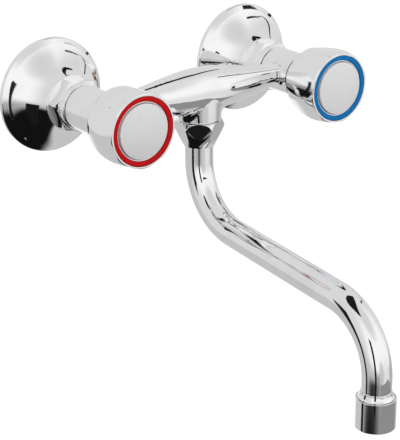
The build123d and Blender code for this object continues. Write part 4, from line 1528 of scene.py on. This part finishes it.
    def lay_wire(self, blank: Blank, number: int, crossing: bool) -> None:
        """One wire of the weave, waving over and under the wires that it crosses.

        Args:
            blank: mesh that takes the wire.
            number: place of the wire among its neighbours, with 0 through the middle.
            crossing: whether the wire runs sideways rather than from front to back.
        """
        axis = drop_axis(SPOUT_REACH)
        across = number * self.wire_pitch
        half = math.sqrt((self.screen_rim + self.wire_overlap) ** 2 - across**2)
        phase = (number + crossing) % 2 * math.pi
        middle = (self.screen_top + self.screen_end) / 2
        steps = round(half * 2 / self.wire_pitch * self.wave_steps)
        side = Vector((0, 1, 0)) if crossing else Vector((1, 0, 0))
        run = Vector((1, 0, 0)) if crossing else Vector((0, 1, 0))
        rings = []
        for step in range(steps + 1):
            along = -half + 2 * half * step / steps
            wave = math.cos(math.pi * along / self.wire_pitch + phase) * self.wire_radius
            centre = axis.origin + run * along + side * across + axis.along * (middle + wave)
            ring = []
            for corner in range(self.wire_sides):
                angle = 2 * math.pi * corner / self.wire_sides
                out = side * math.cos(angle) + axis.along * math.sin(angle)
                ring.append(blank.mesh.verts.new((centre + out * self.wire_radius) * MM))
            rings.append(ring)
        for ring, following in zip(rings, rings[1:]):
            for corner in range(self.wire_sides):
                after = (corner + 1) % self.wire_sides
                blank.mesh.faces.new((ring[corner], ring[after], following[after], following[corner]))
        blank.mesh.faces.new(rings[0])
        blank.mesh.faces.new(rings[-1])


# Pieces that keep the frame's own mesh

@dataclass
class CarriedPieces:
    """Finishes of the nodes whose mesh is shown as it is."""

    finishes: dict[str, Finish] = field(
        default_factory=lambda: {
            "chrome_plate": CHROME,
            "raw_brass": BRASS,
            "spring_steel": SPRING,
            "black_rubber": RUBBER,
            "fibre": FIBRE,
            "white_plastic": WHITE_PLASTIC,
            "grey_plastic": GREY_PLASTIC,
        }
    )

    def dress(self) -> None:
        """Gives each shown node the finish of its slot."""
        for part in frame["record"]["subparts"]:
            node = frame["nodes"][part["node"]]
            if node.hide_render:
                continue
            self.finishes[part["material_slot"]].dress(node)
            LOG.info("node %s keeps its mesh", node.name)


# Studio

@dataclass(frozen=True)
class SkyPatch:
    """Round patch of the surroundings with a level of its own and a soft edge.

    Args:
        azimuth: direction of its middle, in degrees from the wall towards the cold side.
        elevation: height of its middle above level, in degrees.
        radius: angle from its middle to its edge, in degrees.
        softness: angle over which the edge fades each way, in degrees.
        level: light that comes from it.
    """

    azimuth: float
    elevation: float
    radius: float
    softness: float
    level: float

    @property
    def direction(self) -> Vector:
        """Unit direction of its middle."""
        azimuth, elevation = math.radians(self.azimuth), math.radians(self.elevation)
        return Vector(
            (
                math.sin(azimuth) * math.cos(elevation),
                math.cos(azimuth) * math.cos(elevation),
                math.sin(elevation),
            )
        )


@dataclass(frozen=True)
class Card:
    """Card that only polished surfaces see, drawn as a strip of rungs.

    Args:
        name: name of the card.
        rungs: pairs of points across the strip, in metres.
        level: light that it gives off.
        one_sided: whether it is clear when seen from behind.
    """

    name: str
    rungs: tuple[tuple[Place, Place], ...]
    level: float = 0.01
    one_sided: bool = False


def upright_card(
    name: str,
    middle: Point,
    width: float,
    low: float,
    high: float,
    seen_from: Point,
) -> Card:
    """Upright card that faces a point.

    Args:
        name: name of the card.
        middle: place of its middle in plan, in metres.
        width: width of the card.
        low: height of its lower edge.
        high: height of its upper edge.
        seen_from: point in plan that it faces.

    Returns:
        The card.
    """
    facing = Vector(seen_from) - Vector(middle)
    across = facing.orthogonal().normalized() * width / 2
    left, right = Vector(middle) - across, Vector(middle) + across
    rungs = tuple(((*left, height), (*right, height)) for height in (low, high))
    return Card(name, rungs)


@dataclass
class Studio:
    """Floor, world, lamp, cards and camera, with lengths in metres.

    Args:
        floor_glow: light added to the floor for the camera, so that it looks white.
        back_level: level of the upper surroundings on the wall side.
        front_rise: what is added to it on the user's side.
        front_band: share of a direction that points to the user, from back to front.
        low_level: level of the lower surroundings on the wall side.
        low_fall: what is taken from it on the user's side.
        low_band: the same share as in front_band, for the lower surroundings.
        horizon_band: height of a direction, from the lower to the upper surroundings.
        middle: place that the lamp is aimed at.
    """

    floor_height: float = -0.36
    floor_size: float = 8.0
    floor_tones: Band = (0.55, 0.57)
    floor_glow: float = 0.6
    back_level: float = 0.74
    front_rise: float = 0.26
    front_band: Band = (-0.1, 0.6)
    low_level: float = 0.58
    low_fall: float = 0.22
    low_band: Band = (0.2, 0.9)
    horizon_band: Band = (-0.3, -0.08)
    lamp_place: Place = (0.9, -1.3, 1.5)
    lamp_size: Point = (1.4, 1.0)
    lamp_power: float = 12.0
    middle: Place = (0.0, -0.11, -0.05)
    sensor_width: float = 36.0
    camera_place: Place = (-0.5796, -0.8169, 0.2794)
    camera_yaw: float = 37.24
    camera_pitch: float = 20.37
    camera_roll: float = -0.14
    focal_pixels: float = 1600.9
    long_side: int = 440
    patches: tuple[SkyPatch, ...] = (
        SkyPatch(-170.0, 62.0, 24.0, 16.0, 0.7),
        SkyPatch(25.0, -22.0, 16.0, 8.0, 0.98),
        SkyPatch(150.0, -28.0, 26.0, 14.0, 0.8),
        SkyPatch(100.0, -22.0, 12.0, 8.0, 0.42),
        SkyPatch(-175.0, -12.0, 12.0, 10.0, 0.6),
        SkyPatch(-122.0, -66.0, 42.0, 7.0, 0.006),
        SkyPatch(-100.0, -62.0, 39.0, 7.0, 0.006),
    )
    cards: tuple[Card, ...] = (
        upright_card("card_front", (-0.39, -0.56), 0.11, -0.4, 0.14, (0.03, -0.1)),
        Card(
            "card_low_front",
            (
                ((-0.12, -0.2, -0.35), (0.45, -0.2, -0.35)),
                ((-0.12, -0.72, -0.35), (0.45, -0.72, -0.35)),
            ),
            0.28,
        ),
        Card(
            "card_behind_left",
            (
                ((-0.389, 0.278, 0.151), (-0.38, 0.284, 0.157)),
                ((-0.38, 0.257, 0.188), (-0.361, 0.271, 0.2)),
                ((-0.373, 0.25, 0.206), (-0.356, 0.263, 0.216)),
                ((-0.369, 0.244, 0.219), (-0.354, 0.255, 0.228)),
            ),
        ),
        upright_card("card_side", (-0.262, -0.068), 0.085, -0.4, -0.035, (0.03, -0.1)),
        Card(
            "card_above_bar",
            (
                ((0.166, 0.265, 0.485), (0.134, 0.089, 0.575)),
                ((0.17, 0.19, 0.532), (0.155, 0.049, 0.581)),
                ((0.217, 0.129, 0.542), (0.2, 0.017, 0.575)),
                ((0.292, 0.098, 0.518), (0.284, 0.022, 0.54)),
                ((0.422, 0.18, 0.384), (0.422, 0.139, 0.407)),
            ),
        ),
        Card(
            "card_beside_roses",
            (
                ((0.376, -0.207, 0.391), (0.372, -0.235, 0.378)),
                ((0.436, -0.161, 0.334), (0.431, -0.19, 0.325)),
                ((0.487, -0.113, 0.262), (0.475, -0.13, 0.256)),
                ((0.515, -0.1, 0.18), (0.5, -0.11, 0.196)),
                ((0.536, -0.052, 0.137), (0.519, -0.05, 0.151)),
                ((0.551, 0.022, 0.099), (0.539, 0.026, 0.116)),
                ((0.547, 0.15, 0.068), (0.535, 0.159, 0.087)),
                ((0.501, 0.294, 0.036), (0.49, 0.306, 0.057)),
            ),
        ),
        Card(
            "card_over_spout",
            (
                ((-0.003, -0.187, -0.01), (0.031, -0.192, -0.01)),
                ((-0.03, -0.187, -0.01), (0.016, -0.205, -0.01)),
                ((-0.054, -0.191, -0.01), (-0.005, -0.218, -0.01)),
                ((-0.063, -0.203, -0.01), (-0.025, -0.232, -0.01)),
                ((-0.05, -0.236, -0.01), (-0.036, -0.246, -0.01)),
            ),
            one_sided=True,
        ),
    )

    def build(self) -> None:
        """Makes the whole studio."""
        self.make_world()
        self.make_floor()
        self.make_lamp()
        for card in self.cards:
            self.make_card(card)
        self.make_camera()

    def make_camera(self) -> None:
        """Camera at the photograph's viewpoint."""
        data = bpy.data.cameras.new("photo_camera")
        data.sensor_width = self.sensor_width
        data.lens = self.sensor_width * self.focal_pixels / self.long_side
        data.clip_start, data.clip_end = 0.05, 50.0
        camera = bpy.data.objects.new("photo_camera", data)
        bpy.context.scene.collection.objects.link(camera)
        turn = Matrix.Rotation(math.radians(-self.camera_yaw), 4, "Z")
        tilt = Matrix.Rotation(math.radians(90 - self.camera_pitch), 4, "X")
        roll = Matrix.Rotation(math.radians(self.camera_roll), 4, "Z")
        camera.matrix_world = Matrix.Translation(self.camera_place) @ turn @ tilt @ roll
        bpy.context.scene.camera = camera

    def make_world(self) -> None:
        """White world for the camera, with soft grey surroundings for everything else."""
        world = bpy.data.worlds.new("studio_world")
        world.use_nodes = True
        graph = NodeGraph(world.node_tree)
        direction = graph.node("ShaderNodeTexCoord").outputs["Generated"]
        parts = graph.node("ShaderNodeSeparateXYZ", None, {"Vector": direction})
        east, north, up = (Level(graph, parts.outputs[index]) for index in range(3))
        ahead = north * -1.0
        above = ahead.eased(*self.front_band) * self.front_rise + self.back_level
        below = self.low_level - ahead.eased(*self.low_band) * self.low_fall
        rise = up.eased(*self.horizon_band)
        level = above * rise + below * (1 - rise)
        for patch in self.patches:
            toward = patch.direction
            nearness = east * toward.x + north * toward.y + up * toward.z
            outer = math.cos(math.radians(patch.radius + patch.softness))
            inner = math.cos(math.radians(patch.radius - patch.softness))
            share = nearness.eased(outer, inner)
            level = level * (1 - share) + share * patch.level
        seen = graph.read("ShaderNodeLightPath", "Is Camera Ray")
        strength = level * (1 - seen) + seen
        inputs = {"Color": (1.0, 1.0, 1.0, 1.0), "Strength": strength}
        shader = graph.node("ShaderNodeBackground", None, inputs)
        graph.node("ShaderNodeOutputWorld", None, {"Surface": shader.outputs[0]})
        bpy.context.scene.world = world

    def make_floor(self) -> None:
        """Pale floor, which looks white to the camera and keeps the shadow."""
        data = bpy.data.meshes.new("studio_floor")
        mesh = bmesh.new()
        place = Matrix.Translation((0, 0, self.floor_height))
        half = self.floor_size / 2
        bmesh.ops.create_grid(mesh, x_segments=1, y_segments=1, size=half, matrix=place)
        mesh.to_mesh(data)
        mesh.free()
        floor = bpy.data.objects.new("studio_floor", data)
        bpy.context.scene.collection.objects.link(floor)
        material = bpy.data.materials.new("studio_floor")
        material.use_nodes = True
        graph = NodeGraph(material.node_tree)
        speckle = graph.grain(graph.place(), 40.0, 3.0)
        dark, light = ((level, level, level) for level in self.floor_tones)
        tone = graph.blend(speckle, dark, light)
        matt = graph.node("ShaderNodeBsdfDiffuse", None, {"Color": tone})
        seen = graph.read("ShaderNodeLightPath", "Is Camera Ray")
        glow = graph.node("ShaderNodeEmission", None, {"Strength": seen * self.floor_glow})
        both = graph.node("ShaderNodeAddShader", None, {0: matt.outputs[0], 1: glow.outputs[0]})
        graph.node("ShaderNodeOutputMaterial", None, {"Surface": both.outputs[0]})
        data.materials.append(material)
        floor.visible_glossy = False

    def make_lamp(self) -> None:
        """One large soft lamp above and ahead of the tap."""
        data = bpy.data.lights.new("soft_lamp", "AREA")
        data.shape = "RECTANGLE"
        data.size, data.size_y = self.lamp_size
        data.energy = self.lamp_power
        lamp = bpy.data.objects.new("soft_lamp", data)
        bpy.context.scene.collection.objects.link(lamp)
        place = Vector(self.lamp_place)
        aim = (Vector(self.middle) - place).to_track_quat("-Z", "Y").to_matrix().to_4x4()
        lamp.matrix_world = Matrix.Translation(place) @ aim
        lamp.visible_glossy = False

    def make_card(self, card: Card) -> None:
        """One card of the studio, seen only by polished surfaces.

        Args:
            card: name, rungs, level and sides of the card.
        """
        mesh = bmesh.new()
        rungs = [tuple(mesh.verts.new(point) for point in rung) for rung in card.rungs]
        for (left, right), (next_left, next_right) in zip(rungs, rungs[1:]):
            mesh.faces.new((left, right, next_right, next_left))
        data = bpy.data.meshes.new(card.name)
        mesh.to_mesh(data)
        mesh.free()
        item = bpy.data.objects.new(card.name, data)
        bpy.context.scene.collection.objects.link(item)
        material = bpy.data.materials.new(card.name)
        material.use_nodes = True
        graph = NodeGraph(material.node_tree)
        glow = graph.node("ShaderNodeEmission", None, {"Strength": card.level})
        surface = glow.outputs[0]
        if card.one_sided:
            behind = graph.node("ShaderNodeNewGeometry").outputs["Backfacing"]
            clear = graph.node("ShaderNodeBsdfTransparent")
            sides = {0: behind, 1: surface, 2: clear.outputs[0]}
            surface = graph.node("ShaderNodeMixShader", None, sides).outputs[0]
        graph.node("ShaderNodeOutputMaterial", None, {"Surface": surface})
        data.materials.append(material)
        item.visible_camera = False
        item.visible_diffuse = False
        item.visible_shadow = False
        item.visible_transmission = False


def main() -> None:
    """Builds every sub-assembly and the studio, in order."""
    logging.basicConfig(level=logging.INFO, format="%(name)s: %(message)s")
    for side in Side:
        WallUnion(side).build()
        Handle(side).build()
    SwivelNut().build()
    Spout().build()
    CarriedPieces().dress()
    Studio().build()
    bpy.context.scene.view_settings.view_transform = "Standard"


if __name__ == "__main__":
    main()
